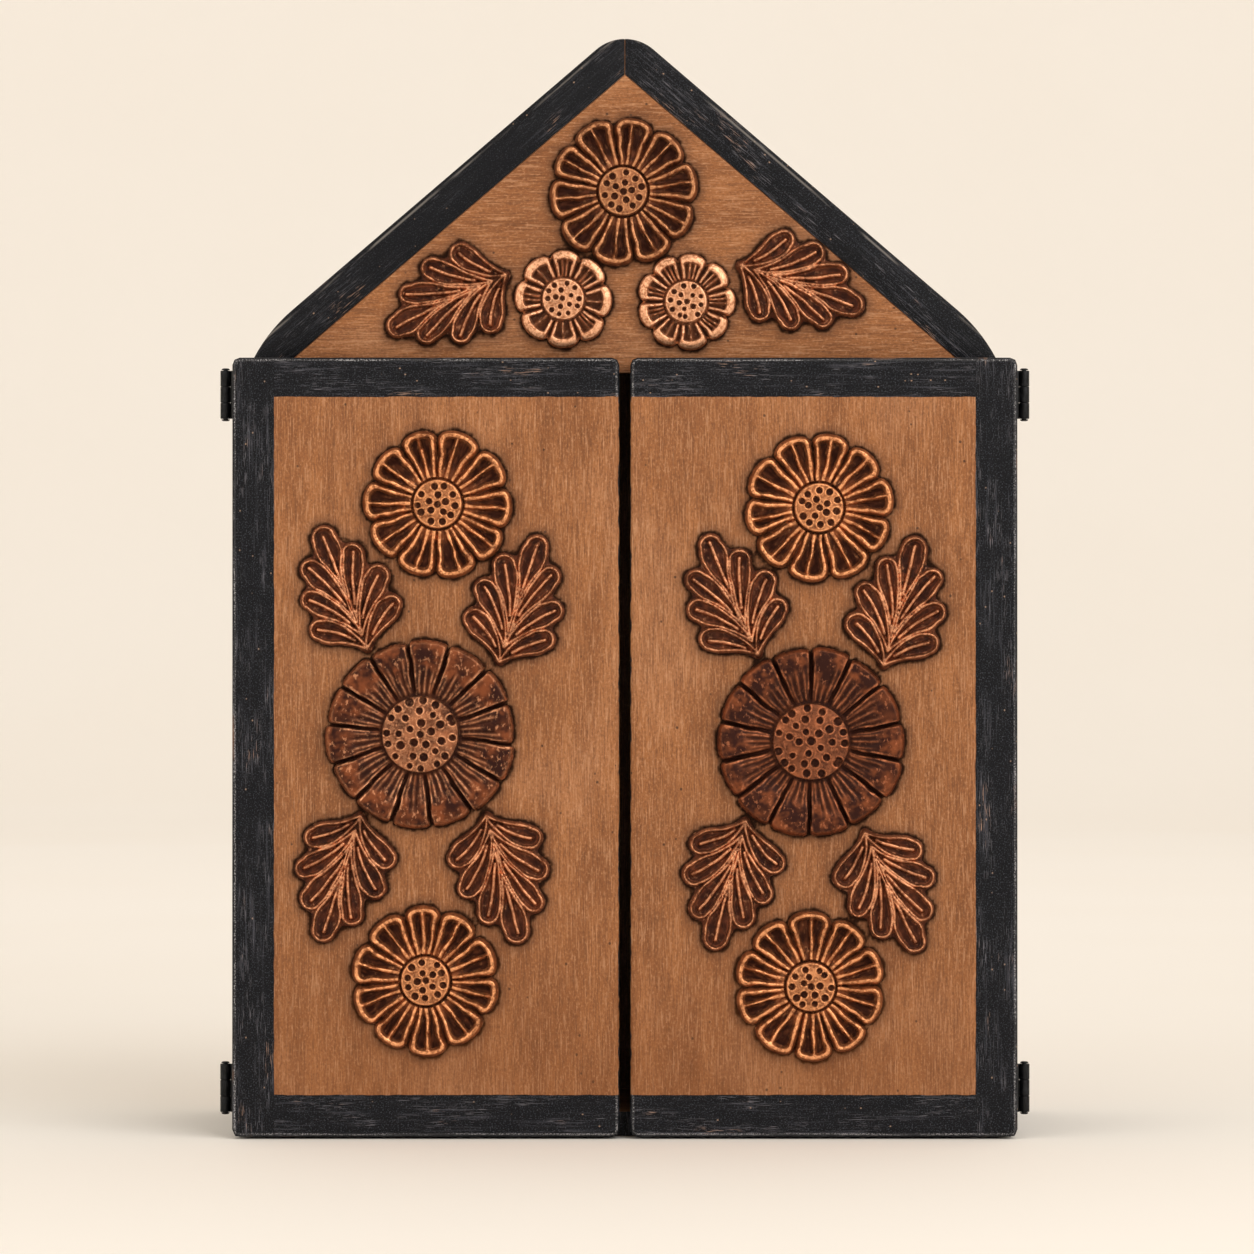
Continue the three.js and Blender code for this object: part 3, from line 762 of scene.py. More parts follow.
def flower_piece(flower, name, node, material):
    """Bends a flat grid round into a closed relief: face, side wall and flat back."""
    around, disc_rows, petal_rows = GRIDS[flower.kind]
    wall = 3
    rows = disc_rows + petal_rows + wall + 1
    bm = bmesh.new()
    bmesh.ops.create_grid(bm, x_segments=around, y_segments=rows, size=0.5)
    flat = coordinates(bm.verts)
    angle = (flat[:, 0] + 0.5) * 2 * math.pi
    row = np.round((flat[:, 1] + 0.5) * rows).astype(int)
    edge = flower.outline(angle)
    in_disc = row / disc_rows * flower.disc
    in_petals = flower.disc + (row - disc_rows) / petal_rows * (edge - flower.disc)
    r = np.where(row <= disc_rows, in_disc, np.minimum(in_petals, edge))
    dx, dz = r * np.sin(angle), r * np.cos(angle)
    height, rub, hollow = flower.relief(dx, dz)
    lowered = np.clip((row - disc_rows - petal_rows) / wall, 0, 1)
    height = np.clip(height, 0, 1) * (1 - lowered) * flower.height
    hollow = np.maximum(hollow, 0.8 * lowered)
    last = row == rows
    dx, dz, height = np.where(last, 0, dx), np.where(last, 0, dz), np.where(last, 0, height)
    for vert, x, z, h in zip(bm.verts, dx, dz, height):
        vert.co = (x, -h, z)
    set_layer(bm, "rub", rub * (1 - lowered))
    set_layer(bm, "hollow", hollow)
    bmesh.ops.remove_doubles(bm, verts=bm.verts, dist=0.002)
    return onto_board(bm, (*flower.centre, flower.back), name, node, material)


def onto_board(bm, place, name, node, material):
    """Moves a relief made about its own centre to its place on a board, in metres."""
    x, z, back = place
    bmesh.ops.transform(
        bm, verts=bm.verts, matrix=Matrix.Scale(MM, 4) @ Matrix.Translation((x, back, z))
    )
    bmesh.ops.recalc_face_normals(bm, faces=bm.faces)
    return finished(bm, name, [node], [material], smooth_below=60)


# ---- Relief of the leaves ----

LEAF_STEP, QUICK_LEAF_STEP = 0.34, 0.7  # spacing of the points on a leaf's face
LEAF_SHEET, LEAF_SHEET_MIDDLE = 33, 26  # half the sheet it is cut from, and the sheet's middle


class Leaf:
    """A leaf of seven teardrop lobes that part from its midrib; each lobe is a row of discs."""

    WEB = 1.1  # how far the leaf reaches past its lobes
    # Where along the leaf the end lobe and each pair of lobes leave the midrib.
    ROOTS = (0.4, 0.21, 0.11, 0.0)

    def __init__(self, node, leaf_length, turn, seed):
        self.seed = seed
        rng = np.random.default_rng(seed)
        reach = leaf_length / MM
        self.lobes, self.veins = [], []
        self.midrib = self.ROOTS[0] * reach
        for pair in range(len(self.ROOTS)):
            for side in (-1, 1) if pair else (1,):
                self.add_lobe(side, pair, reach, rng)
        low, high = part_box(node)
        self.turn = math.radians(turn)
        self.back, self.height = high.y / MM, (high.y - low.y) / MM
        rim = np.concatenate([
            centres + (radii[:, None] + self.WEB) * np.array([math.cos(a), math.sin(a)])
            for centres, radii in self.lobes
            for a in np.linspace(0, 2 * math.pi, 24)
        ])
        x, z = self.turned(rim[:, 0], rim[:, 1])
        self.base = (
            (low.x + high.x) / 2 / MM - (x.min() + x.max()) / 2,
            (low.z + high.z) / 2 / MM - (z.min() + z.max()) / 2,
        )

    def add_lobe(self, side, pair, reach, rng):
        """Adds a teardrop lobe: its bent middle line, its widths along it and its vein."""
        spread_angle = math.radians(13.5 * pair + 1.2 * pair**2 + rng.normal(0, 0.8)) * side
        far = reach * (1 - 0.175 * pair) * rng.uniform(0.975, 1.0) - self.WEB
        widest = rng.uniform(4.7, 5.2) if pair else 5.4
        tip = widest * rng.uniform(0.76, 0.9)
        root = np.array([0, self.ROOTS[pair] * reach])
        end = far * np.array([math.sin(spread_angle), math.cos(spread_angle)])
        long = np.hypot(*(end - root))
        early = 0.6 * spread_angle
        bend = root + 0.45 * long * np.array([math.sin(early), math.cos(early)])
        t = np.linspace(0, 1 - tip / long, 48)[:, None]
        centres = (1 - t) ** 2 * root + 2 * (1 - t) * t * bend + t**2 * end
        run = np.hypot(centres[:, 0] - root[0], centres[:, 1] - root[1])
        radii = rounded_min(0.2 + widest * run / (0.7 * long), widest, 0.8)
        radii = blend(radii, tip, smooth(0.82, 1.0, run / run[-1]))
        self.lobes.append((centres, radii))
        ahead = centres[-1] + (centres[-1] - centres[-2]) * np.arange(1, 8)[:, None] * 0.25
        vein = np.concatenate([centres[radii > 1.9], ahead[: rng.integers(2, 8)]])
        self.veins.append(vein + rng.normal(0, 0.25, 2))

    def turned(self, x, z):
        """Turns places on the leaf clockwise to the way that it points."""
        c, s = math.cos(self.turn), math.sin(self.turn)
        return x * c + z * s, z * c - x * s

    def depths(self, x, z):
        """How far inside each lobe a place is; negative outside."""
        rows = []
        for centres, radii in self.lobes:
            far = np.hypot(x[..., None] - centres[:, 0], z[..., None] - centres[:, 1])
            rows.append((radii - far).max(axis=-1))
        rows.append(0.6 - np.hypot(x, z - np.clip(z, 3.0, self.midrib)))
        return np.stack(rows)

    def inside(self, x, z):
        """Distance inside the whole leaf's outline, its notches rounded."""
        depths = self.depths(x, z)
        total = depths[0]
        for depth in depths[1:]:
            total = -rounded_min(-total, -depth, 3.2)
        return total + self.WEB

    def gap(self, x, z):
        """Distance outside the outline, in millimetres, of places on the board."""
        x, z = x - self.base[0], z - self.base[1]
        c, s = math.cos(self.turn), math.sin(self.turn)
        return -self.inside(x * c - z * s, z * c + x * s)

    def relief(self, x, z):
        """Height, rubbed share and dirt share at places on the leaf, in millimetres."""
        inside = self.inside(x, z)
        sway_x = x + 0.3 * wobble(x, z, 6, self.seed + 0.5)
        sway_z = z + 0.3 * wobble(x, z, 6, self.seed + 9.5)
        depths = np.sort(self.depths(sway_x, sway_z)[:-1], axis=0)
        own, next_lobe = depths[-1], depths[-2]
        midrib = np.hypot(sway_x, z - np.clip(z, 0.5, self.midrib))
        vein = np.full(x.shape, 99.0)
        for places in self.veins:
            far = np.hypot(sway_x[..., None] - places[:, 0], sway_z[..., None] - places[:, 1])
            vein = np.minimum(vein, far.min(axis=-1))
        edge = smooth(0, self.WEB + 0.5, inside)
        # Near the base two lobes share one ridge; further out it parts into two rims.
        crest_at = 0.65 * smooth(4, 14, np.hypot(x, z))
        rim_at = rounded_min(own + 0.7 * crest_at, (own - next_lobe) / 2 + 0.15, 0.3)
        swell = 1 + 0.35 * wobble(x, z, 3.5, self.seed + 1.5)
        past = (rim_at - crest_at) / swell
        up, down = smooth(-1.0, -0.15, past), smooth(0.2, 1.1, past)
        crest = 0.9 + 0.08 * wobble(x, z, 9, self.seed + 3.5)
        height = blend(blend(0.3 + 0.15 * edge, crest, up), 0.38, down)
        height = blend(height, 0.84, 0.9 * smooth(1.3, 0.3, vein) * down)
        height = blend(0.18, height, smooth(-0.1, 0.9, inside))
        near_base = smooth(3, 14, np.hypot(x, z))
        uneven = 0.85 + 0.6 * wobble(x, z, 4, self.seed + 7.5)
        rub = np.maximum(smooth(1.2, 0.2, np.abs(past)), 0.95 * smooth(1.1, 0.25, vein) * down)
        rub = np.maximum(rub, 0.5 * bell(midrib, 0.5)) * uneven * (0.7 + 0.3 * near_base)
        streak = np.clip(0.85 + 0.7 * wobble(x, z, 2.2, self.seed + 5.5), 0, 1)
        floor = smooth(1.0, 1.8, past) * smooth(0.9, 1.6, vein) * streak
        web = smooth(-0.5, -1.1, past) * (0.4 + 0.6 * smooth(0.6, 1.6, inside))
        hollow = np.maximum(0.85 * floor, 0.75 * web)
        hollow = np.maximum(hollow, 0.6 * smooth(0.6, 0.1, inside))
        return np.clip(height, 0, 0.99), rub, hollow


def leaf_piece(leaf, name, node, material, step):
    """Cuts the leaf out of a fine grid, raises its relief and closes it with a flat back."""
    bm = bmesh.new()
    count = round(2 * LEAF_SHEET / step)
    upright = Matrix.Rotation(math.pi / 2, 4, "X")
    middle = Matrix.Translation((0, 0, LEAF_SHEET_MIDDLE)) @ upright
    bmesh.ops.create_grid(bm, x_segments=count, y_segments=count, size=LEAF_SHEET, matrix=middle)
    centres = np.array([face.calc_center_median() for face in bm.faces])
    outside = leaf.inside(centres[:, 0], centres[:, 2]) < 0
    cut = [face for face, out in zip(bm.faces, outside) if out]
    bmesh.ops.delete(bm, geom=cut, context="FACES")
    rim = [vert for vert in bm.verts if vert.is_boundary]
    places = coordinates(rim)
    x, z = places[:, 0], places[:, 2]
    for _ in range(3):
        # Slides the stepped rim along the slope of the distance on to the outline itself.
        here = leaf.inside(x, z)
        slope_x = (leaf.inside(x + 0.05, z) - here) / 0.05
        slope_z = (leaf.inside(x, z + 0.05) - here) / 0.05
        pull = here / np.maximum(slope_x**2 + slope_z**2, 0.3)
        x, z = x - slope_x * pull, z - slope_z * pull
    for vert, new_x, new_z in zip(rim, x, z):
        vert.co = (new_x, 0, new_z)
    places = coordinates(bm.verts)
    height, rub, hollow = leaf.relief(places[:, 0], places[:, 2])
    set_layer(bm, "rub", rub)
    set_layer(bm, "hollow", hollow)
    for vert, h in zip(bm.verts, height):
        vert.co.y = -h * leaf.height
    skirt = bmesh.ops.extrude_edge_only(bm, edges=open_edges(bm))["geom"]
    for vert in of_kind(bmesh.types.BMVert, skirt):
        vert.co.y = 0
    bmesh.ops.triangle_fill(bm, edges=open_edges(bm), use_beauty=True)
    bmesh.ops.rotate(bm, verts=bm.verts, matrix=Matrix.Rotation(leaf.turn, 3, "Y"))
    return onto_board(bm, (*leaf.base, leaf.back), name, node, material)


# ---- Every ornament, so that boards know where they lie ----

# Millimetres from an ornament: where its distance is still worked out, and the value of a board
# that has no wax or painted shadow.
DIRT_AND_SHADE_REACH, UNMARKED_PAST = 15, 20.0


def all_flowers(copper):
    kinds = (
        ("daisy", DAISY_TURNS, copper.daisy_petals, copper.daisy_radius, copper.daisy_disc),
        ("large", LARGE_FLOWER_TURNS, copper.large_petals, copper.large_radius, copper.large_disc),
        ("small", SMALL_FLOWER_TURNS, 8, copper.small_radius, copper.small_disc),
    )
    flowers = {}
    for kind, turns, petals, radius, disc in kinds:
        for node, turn in turns.items():
            count = 9 if node == "pediment_right_small_flower" else petals
            flowers[node] = Flower(node, kind, count, radius, disc, turn, 11 + 7 * len(flowers))
    return flowers


def all_leaves(copper):
    return {
        node: Leaf(node, copper.leaf_length, turn, 101 + 3 * i)
        for i, (node, turn) in enumerate(LEAF_TURNS.items())
    }


def gap_to_ornaments(x, z, prefix, copper):
    """Distance from each place on a board to its nearest ornament, in metres."""
    nearest = np.full(x.shape, UNMARKED_PAST)
    for node, ornament in {**all_flowers(copper), **all_leaves(copper)}.items():
        if node.startswith(prefix):
            low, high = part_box(node)
            across = (x > low.x / MM - DIRT_AND_SHADE_REACH) & (x < high.x / MM + DIRT_AND_SHADE_REACH)
            near = across & (z > low.z / MM - DIRT_AND_SHADE_REACH) & (z < high.z / MM + DIRT_AND_SHADE_REACH)
            nearest[near] = np.minimum(nearest[near], ornament.gap(x[near], z[near]))
    return np.maximum(nearest, 0) * MM


# ---- Boards ----


def eased_copy(node, outward, outer_edge, joint_edge, front_y):
    """A copy of a board of the case with small chamfers, and round edges where it shows."""
    bm = bmesh.new()
    bm.from_mesh(frame["nodes"][node].data)
    bmesh.ops.remove_doubles(bm, verts=bm.verts, dist=1e-6)
    bmesh.ops.dissolve_limit(bm, angle_limit=math.radians(1), verts=bm.verts, edges=bm.edges)

    def is_outer(edge):
        on_front = all(abs(vert.co.y - front_y) < 1e-5 for vert in edge.verts)
        faces_out = any(face.normal.dot(outward) > 0.35 for face in edge.link_faces)
        return on_front and faces_out

    outer = [edge for edge in bm.edges if edge.is_manifold and is_outer(edge)]
    round_over(bm, outer, outer_edge, 4)
    bm.normal_update()
    sharp = [
        edge for edge in bm.edges
        if edge.is_manifold and edge.calc_face_angle(0) > math.radians(50)
    ]
    round_over(bm, sharp, joint_edge, 2)
    bmesh.ops.recalc_face_normals(bm, faces=bm.faces)
    low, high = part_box(node)
    for vert in bm.verts:
        vert.co = [min(max(at, least), most) for at, least, most in zip(vert.co, low, high)]
    return bm


def squared_to_round(x, z, half_x, half_z, radius):
    """Draws the corners of a rectangle of points in to a radius."""
    over_x = np.maximum(np.abs(x) - (half_x - radius), 0)
    over_z = np.maximum(np.abs(z) - (half_z - radius), 0)
    largest, far = np.maximum(over_x, over_z), np.hypot(over_x, over_z)
    shrink = np.where(far > 0, largest / np.maximum(far, 1e-12), 1)
    new_x = np.sign(x) * (np.minimum(np.abs(x), half_x - radius) + over_x * shrink)
    new_z = np.sign(z) * (np.minimum(np.abs(z), half_z - radius) + over_z * shrink)
    return new_x, new_z


def door_board(node, boards, copper):
    """A door: a fine grid for the face, with its edges rolled back and a plain back."""
    low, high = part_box(node)
    middle, half = (low + high) / 2, (high - low) / 2
    depth, ease = high.y - low.y, boards.door_edge
    bm = bmesh.new()
    bmesh.ops.create_grid(
        bm, size=1,
        x_segments=round(2 * half.x / boards.surface_step),
        y_segments=round(2 * half.z / boards.surface_step),
    )
    flat = coordinates(bm.verts)
    face_x, face_z = half.x - ease, half.z - ease
    corner = max(boards.door_corner - ease, 0.2 * MM)
    x, z = squared_to_round(flat[:, 0] * face_x, flat[:, 1] * face_z, face_x, face_z, corner)
    for vert, new_x, new_z in zip(bm.verts, x, z):
        vert.co = (new_x, 0, new_z)
    from_edge = np.minimum(half.x - np.abs(x), half.z - np.abs(z))
    set_layer(bm, "edge", from_edge)
    gaps = gap_to_ornaments((x + middle.x) / MM, (z + middle.z) / MM, node, copper)
    set_layer(bm, "gap", gaps)
    edge_layer = bm.verts.layers.float["edge"]
    steps = [math.radians(a) for a in (22.5, 45, 67.5, 90)]
    rings = [(ease * math.sin(a), ease * (1 - math.cos(a))) for a in steps]
    rings += [(ease, depth - ease)]
    rings += [(ease * math.cos(a), depth - ease + ease * math.sin(a)) for a in steps]
    boundary = open_edges(bm)
    rim = {vert for edge in boundary for vert in edge.verts}
    out_of = {}
    for vert in rim:
        way = Vector((
            max(abs(vert.co.x) - (face_x - corner), 0) * math.copysign(1, vert.co.x), 0,
            max(abs(vert.co.z) - (face_z - corner), 0) * math.copysign(1, vert.co.z),
        ))
        out_of[vert] = way.normalized()
    starts = {vert: vert.co.copy() for vert in rim}
    for out, back in rings:
        made = bmesh.ops.extrude_edge_only(bm, edges=boundary)["geom"]
        boundary = [edge for edge in of_kind(bmesh.types.BMEdge, made) if edge.is_boundary]
        origin = {}
        for vert in of_kind(bmesh.types.BMVert, made):
            ends = (edge.other_vert(vert) for edge in vert.link_edges)
            origin[vert] = next(end for end in ends if end in out_of)
        for vert, source in origin.items():
            start, way = starts[source], out_of[source]
            vert.co = start + way * out + Vector((0, back, 0))
            vert[edge_layer] = max(ease - out, 0)
        starts = {vert: starts[source] for vert, source in origin.items()}
        out_of = {vert: out_of[source] for vert, source in origin.items()}
    bmesh.ops.triangle_fill(bm, edges=boundary, use_beauty=True)
    bmesh.ops.translate(bm, verts=bm.verts, vec=(middle.x, low.y, middle.z))
    bmesh.ops.recalc_face_normals(bm, faces=bm.faces)
    return bm


def roof_slope(node, outward_x):
    """The pitch of a roof board and the distance of its outer face from the origin."""
    faces = frame["nodes"][node].data.polygons
    upper = [face for face in faces if face.normal.z > 0.5 and face.normal.x * outward_x > 0.3]
    slope = max(upper, key=lambda face: face.area)
    pitch = math.atan2(abs(slope.normal.x), slope.normal.z)
    return pitch, slope.normal.dot(slope.center)


# ---- Operators ----

# The slopes differ by painted light: the left is kept darker as painted shade, the right paler as a
# painted sheen from the key light on that side.
ROOF_WEAR_AND_SHEEN = {"left": 0.45, "right": 0.9}  # worn paint of each slope, and painted light between them


class SHRINE_OT_case(bpy.types.Operator):
    """Make the case: back, base, sides and roof"""

    bl_idname = "shrine.case"
    bl_label = "Case"

    def execute(self, context):
        boards = context.scene.shrine_boards
        front_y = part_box("case_left_side")[0].y
        back_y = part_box("case_back_board")[1].y
        outer, joint = boards.board_edge, boards.joint_edge
        bare = bare_board("bare pine, upright", boards)
        level = bare_board("bare pine, level", boards, "x")
        upright_paint = painted_wood("charcoal paint, upright", boards)
        for side, outward_x in SIDES.items():
            node = f"case_{side}_side"
            out = Vector((outward_x, 0, 0))
            bm = eased_copy(node, out, outer, joint, front_y)
            woods = [upright_paint, bare]
            piece = finished(bm, f"{side}_side_board", [node], woods)
            bare_inside(piece, out)
            node = f"case_{side}_roof"
            pitch, reach = roof_slope(node, outward_x)
            out = Vector((outward_x * math.sin(pitch), 0, math.cos(pitch)))
            bm = eased_copy(node, out, outer, joint, front_y)
            paint = painted_wood(
                f"charcoal paint, {side} slope", boards, "x", outward_x * pitch, reach,
                wear_and_sheen=ROOF_WEAR_AND_SHEEN[side],
            )
            inner = bare_board(f"bare pine, {side} slope", boards, "x", outward_x * pitch)
            piece = finished(bm, f"{side}_roof_board", [node], [paint, inner])
            bare_inside(piece, out)
        bm = eased_copy("case_back_board", Vector((0, 0, 1)), outer, joint, back_y)
        back = finished(bm, "back_board", ["case_back_board"], [bare, upright_paint])
        for face in back.data.polygons:
            face.material_index = int(abs(face.normal.y) < 0.9)
        bm = eased_copy("case_base_board", Vector((0, 0, 0)), outer, joint, front_y)
        base = finished(bm, "base_board", ["case_base_board"], [level, upright_paint])
        for face in base.data.polygons:
            face.material_index = int(face.normal.y < -0.5)
        return {"FINISHED"}


def bare_inside(piece, outward):
    """Leaves the inner face and the mitres of a painted board bare."""
    for face in piece.data.polygons:
        inner = face.normal.dot(outward) < -0.3 and face.normal.y > -0.5
        face.material_index = int(inner)


class SHRINE_OT_gable(bpy.types.Operator):
    """Make the stained triangle of the gable"""

    bl_idname = "shrine.gable"
    bl_label = "Gable panel"

    def execute(self, context):
        boards, copper = context.scene.shrine_boards, context.scene.shrine_copper
        low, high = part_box("pediment_panel")
        half = (high - low) / 2
        middle_x = (low.x + high.x) / 2
        bm = bmesh.new()
        bmesh.ops.create_grid(
            bm, size=1,
            x_segments=round(2 * half.x / boards.surface_step),
            y_segments=round(2 * half.z / boards.surface_step),
        )
        turn = Matrix.Translation((middle_x, low.y, low.z + half.z)) @ Matrix.Diagonal(
            (half.x, 1, half.z, 1)
        ) @ Matrix.Rotation(math.pi / 2, 4, "X")
        bmesh.ops.transform(bm, verts=bm.verts, matrix=turn)
        apex = Vector((middle_x, low.y, high.z))
        for outward_x in SIDES.values():
            slope = Vector((2 * half.z * outward_x, 0, half.x))
            cut_off(bm, apex, slope)
        places = coordinates(bm.verts) / MM
        set_layer(bm, "gap", gap_to_ornaments(places[:, 0], places[:, 2], "pediment", copper))
        made = bmesh.ops.extrude_edge_only(bm, edges=open_edges(bm))["geom"]
        rim = of_kind(bmesh.types.BMVert, made)
        bmesh.ops.translate(bm, verts=rim, vec=(0, high.y - low.y, 0))
        bmesh.ops.triangle_fill(bm, edges=open_edges(bm), use_beauty=True)
        bmesh.ops.recalc_face_normals(bm, faces=bm.faces)
        wood = gable_wood("stained wood, gable", boards)
        finished(bm, "gable_panel", ["pediment_panel"], [wood])
        return {"FINISHED"}


class SHRINE_OT_doors(bpy.types.Operator):
    """Make the two doors"""

    bl_idname = "shrine.doors"
    bl_label = "Doors"

    def execute(self, context):
        boards, copper = context.scene.shrine_boards, context.scene.shrine_copper
        for side, outward_x in SIDES.items():
            node = f"{side}_door"
            low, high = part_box(node)
            bm = door_board(node, boards, copper)
            wood = door_wood(f"stained wood, {side} door", boards, low, high, outward_x)
            finished(bm, f"{side}_door_board", [node], [wood])
        return {"FINISHED"}


class SHRINE_OT_hinges(bpy.types.Operator):
    """Make the four butt hinges"""

    bl_idname = "shrine.hinges"
    bl_label = "Hinges"

    def execute(self, context):
        iron = black_iron("blackened steel")
        for side, outward_x in SIDES.items():
            for level in ("upper", "lower"):
                name = f"{side}_{level}_hinge"
                pin_low, pin_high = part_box(f"{name}_pin")
                axis = (pin_low + pin_high) / 2
                for leaf, knuckles in (("case_leaf", (0, 2)), ("door_leaf", (1,))):
                    node = f"{name}_{leaf}"
                    bm = hinge_leaf(node, axis, outward_x, knuckles)
                    finished(bm, f"{node}_plate", [node], [iron])
                bm = hinge_pin(pin_low, pin_high)
                finished(bm, f"{name}_pin_rod", [f"{name}_pin"], [iron])
        return {"FINISHED"}


# Sizes of a hinge: radii of its barrel, bore and rod, and what its leaves and screws measure.
BARREL, BORE, ROD = 2.2 * MM, 1.25 * MM, 1.0 * MM
KNUCKLE_GAP, KNUCKLE_EASE = 0.12 * MM, 0.25 * MM
LEAF_THICK, LEAF_EASE, LEAF_FROM_AXIS = 0.7 * MM, 0.12 * MM, 0.8 * MM
SCREW_RADIUS, SCREW_PROUD, SCREW_SLOT = 1.9 * MM, 0.07 * MM, 0.5 * MM
SCREW_TURN = 0.6  # radians; how far round the slots were left


def turned_profile(bm, profile, centre, steps=28, is_closed=True):
    """Spins a profile of radius and height about an upright axis."""
    verts = [bm.verts.new(centre + Vector((r, 0, h))) for r, h in profile]
    following = verts[1:] + verts[:1] if is_closed else verts[1:]
    edges = [bm.edges.new(pair) for pair in zip(verts, following)]
    bmesh.ops.spin(
        bm, geom=verts + edges, cent=centre, axis=(0, 0, 1), angle=2 * math.pi,
        steps=steps, use_merge=True, use_duplicate=False,
    )


def rolled(inner, outer, low, high, ease):
    """The profile of a tube's wall with its outer edges eased."""
    return [
        (inner, low), (outer - ease, low), (outer - 0.3 * ease, low + 0.3 * ease),
        (outer, low + ease), (outer, high - ease), (outer - 0.3 * ease, high - 0.3 * ease),
        (outer - ease, high), (inner, high),
    ]


def hinge_leaf(node, axis, outward_x, knuckles):
    """A leaf: an eased plate with two slotted screws, and its own knuckles round the pin."""
    low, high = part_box(node)
    knuckle = (high.z - low.z - 2 * KNUCKLE_GAP) / 3
    starts = [low.z + i * (knuckle + KNUCKLE_GAP) for i in knuckles]
    bm = bmesh.new()
    for start in starts:
        ends = start - axis.z, start + knuckle - axis.z
        turned_profile(bm, rolled(BORE, BARREL, *ends, KNUCKLE_EASE), axis)
    back = 1 if "case_leaf" in node else -1
    outer_face = axis.y + back * LEAF_FROM_AXIS
    inner_face = outer_face - back * LEAF_THICK
    inner_x = low.x if outward_x > 0 else high.x
    plate_x = axis.x - outward_x * (BARREL + KNUCKLE_GAP)
    tongue_x = axis.x - outward_x * (BARREL + BORE) / 2
    plates = [(inner_x, plate_x, low.z, high.z)]
    plates += [(plate_x, tongue_x, start, start + knuckle) for start in starts]
    for x0, x1, z0, z1 in plates:
        box_between(bm, (x0, outer_face, z0), (x1, inner_face, z1), LEAF_EASE)
    for share in (0.25, 0.75):
        place = Vector(((inner_x + plate_x) / 2, inner_face, low.z + share * (high.z - low.z)))
        screw_head(bm, place, -back)
    bmesh.ops.recalc_face_normals(bm, faces=bm.faces)
    return bm


def box_between(bm, a, b, ease):
    """A box between two corners with its edges eased."""
    low = Vector(map(min, a, b))
    high = Vector(map(max, a, b))
    scale = Matrix.Diagonal((*(high - low), 1))
    made = bmesh.ops.create_cube(bm, size=1, matrix=Matrix.Translation((low + high) / 2) @ scale)
    # A dictionary keeps the edges' order, which a set would not.
    edges = list(dict.fromkeys(edge for vert in made["verts"] for edge in vert.link_edges))
    round_over(bm, edges, ease, 2)


def screw_head(bm, place, facing):
    """A flat countersunk head in two halves with the slot open between them."""
    for half in (-1, 1):
        head = bmesh.new()
        bmesh.ops.create_circle(head, cap_ends=True, radius=SCREW_RADIUS, segments=28)
        cut_off(head, (0, half * SCREW_SLOT / 2, 0), (0, -half, 0))
        made = bmesh.ops.extrude_face_region(head, geom=head.faces[:])["geom"]
        lifted = of_kind(bmesh.types.BMVert, made)
        bmesh.ops.translate(head, verts=lifted, vec=(0, 0, 3 * SCREW_PROUD))
        upright = Matrix.Rotation(math.radians(-90 * facing), 4, "X")
        turn = upright @ Matrix.Rotation(SCREW_TURN, 4, "Z")
        start = Matrix.Translation(place - Vector((0, facing * 2 * SCREW_PROUD, 0)))
        bmesh.ops.transform(head, verts=head.verts, matrix=start @ turn)
        mesh = bpy.data.meshes.new("screw head")
        head.to_mesh(mesh)
        head.free()
        bm.from_mesh(mesh)
        bpy.data.meshes.remove(mesh)


def hinge_pin(low, high):
    """A pin with a low domed head at each end."""
    bm = bmesh.new()
    centre = (low + high) / 2
    half, head = (high.z - low.z) / 2, (high.x - low.x) / 2
    # From the middle of a head's top, over its dome and under it to the rod.
    top = [(0, 0), (0.6 * head, 0), (0.9 * head, 0.2), (head, 0.45), (head, 0.7), (ROD, 0.7)]
    lower = [(r, -half + down * MM) for r, down in top]
    upper = [(r, half - down * MM) for r, down in reversed(top)]
    turned_profile(bm, lower + upper, centre)
    bmesh.ops.remove_doubles(bm, verts=bm.verts, dist=1e-7)
    bmesh.ops.delete(bm, geom=[e for e in bm.edges if not e.link_faces], context="EDGES")
    bmesh.ops.recalc_face_normals(bm, faces=bm.faces)
    return bm


class SHRINE_OT_daisies(bpy.types.Operator):
    """Make the five daisies"""

    bl_idname = "shrine.daisies"
    bl_label = "Daisies"

    def execute(self, context):
        copper = context.scene.shrine_copper
        gold, duller = opaque(copper.gold), linear("#d99a6c")
        metal = aged_copper("golden copper, rubbed", copper, gold, "#8d4f2c", "#4b2616")
        browner = aged_copper("golden copper, gable", copper, duller, "#7d462b", "#412218")
        flowers = all_flowers(copper)
        for node in DAISY_TURNS:
            look = browner if node == "pediment_flower" else metal
            flower_piece(flowers[node], f"{node}_daisy", node, look)
        return {"FINISHED"}


class SHRINE_OT_large_flowers(bpy.types.Operator):
    """Make the large dark flower of each door"""

    bl_idname = "shrine.large_flowers"
    bl_label = "Large flowers"

    def execute(self, context):
        copper = context.scene.shrine_copper
        flowers = all_flowers(copper)
        for node in LARGE_FLOWER_TURNS:
            side = node.split("_")[0]
            # The right-hand one has been handled less, so its ridges are browner.
            is_bright = side == "left"
            rubbed = opaque(copper.rose) if is_bright else linear("#c47a54")
            metal = aged_copper(
                f"dark copper, {side} flower", copper, rubbed, "#84492c", "#351b15",
                dark=0.05 if is_bright else 0.09, patch=6,
            )
            flower_piece(flowers[node], f"{node}_bloom", node, metal)
        return {"FINISHED"}


class SHRINE_OT_small_flowers(bpy.types.Operator):
    """Make the two small pale flowers of the gable"""

    bl_idname = "shrine.small_flowers"
    bl_label = "Small flowers"

    def execute(self, context):
        copper = context.scene.shrine_copper
        pale = opaque(copper.pale)
        metal = aged_copper("pale copper, rubbed", copper, pale, "#a9673f", "#5f3824")
        flowers = all_flowers(copper)
        for node in SMALL_FLOWER_TURNS:
            flower_piece(flowers[node], f"{node}_bloom", node, metal)
        return {"FINISHED"}


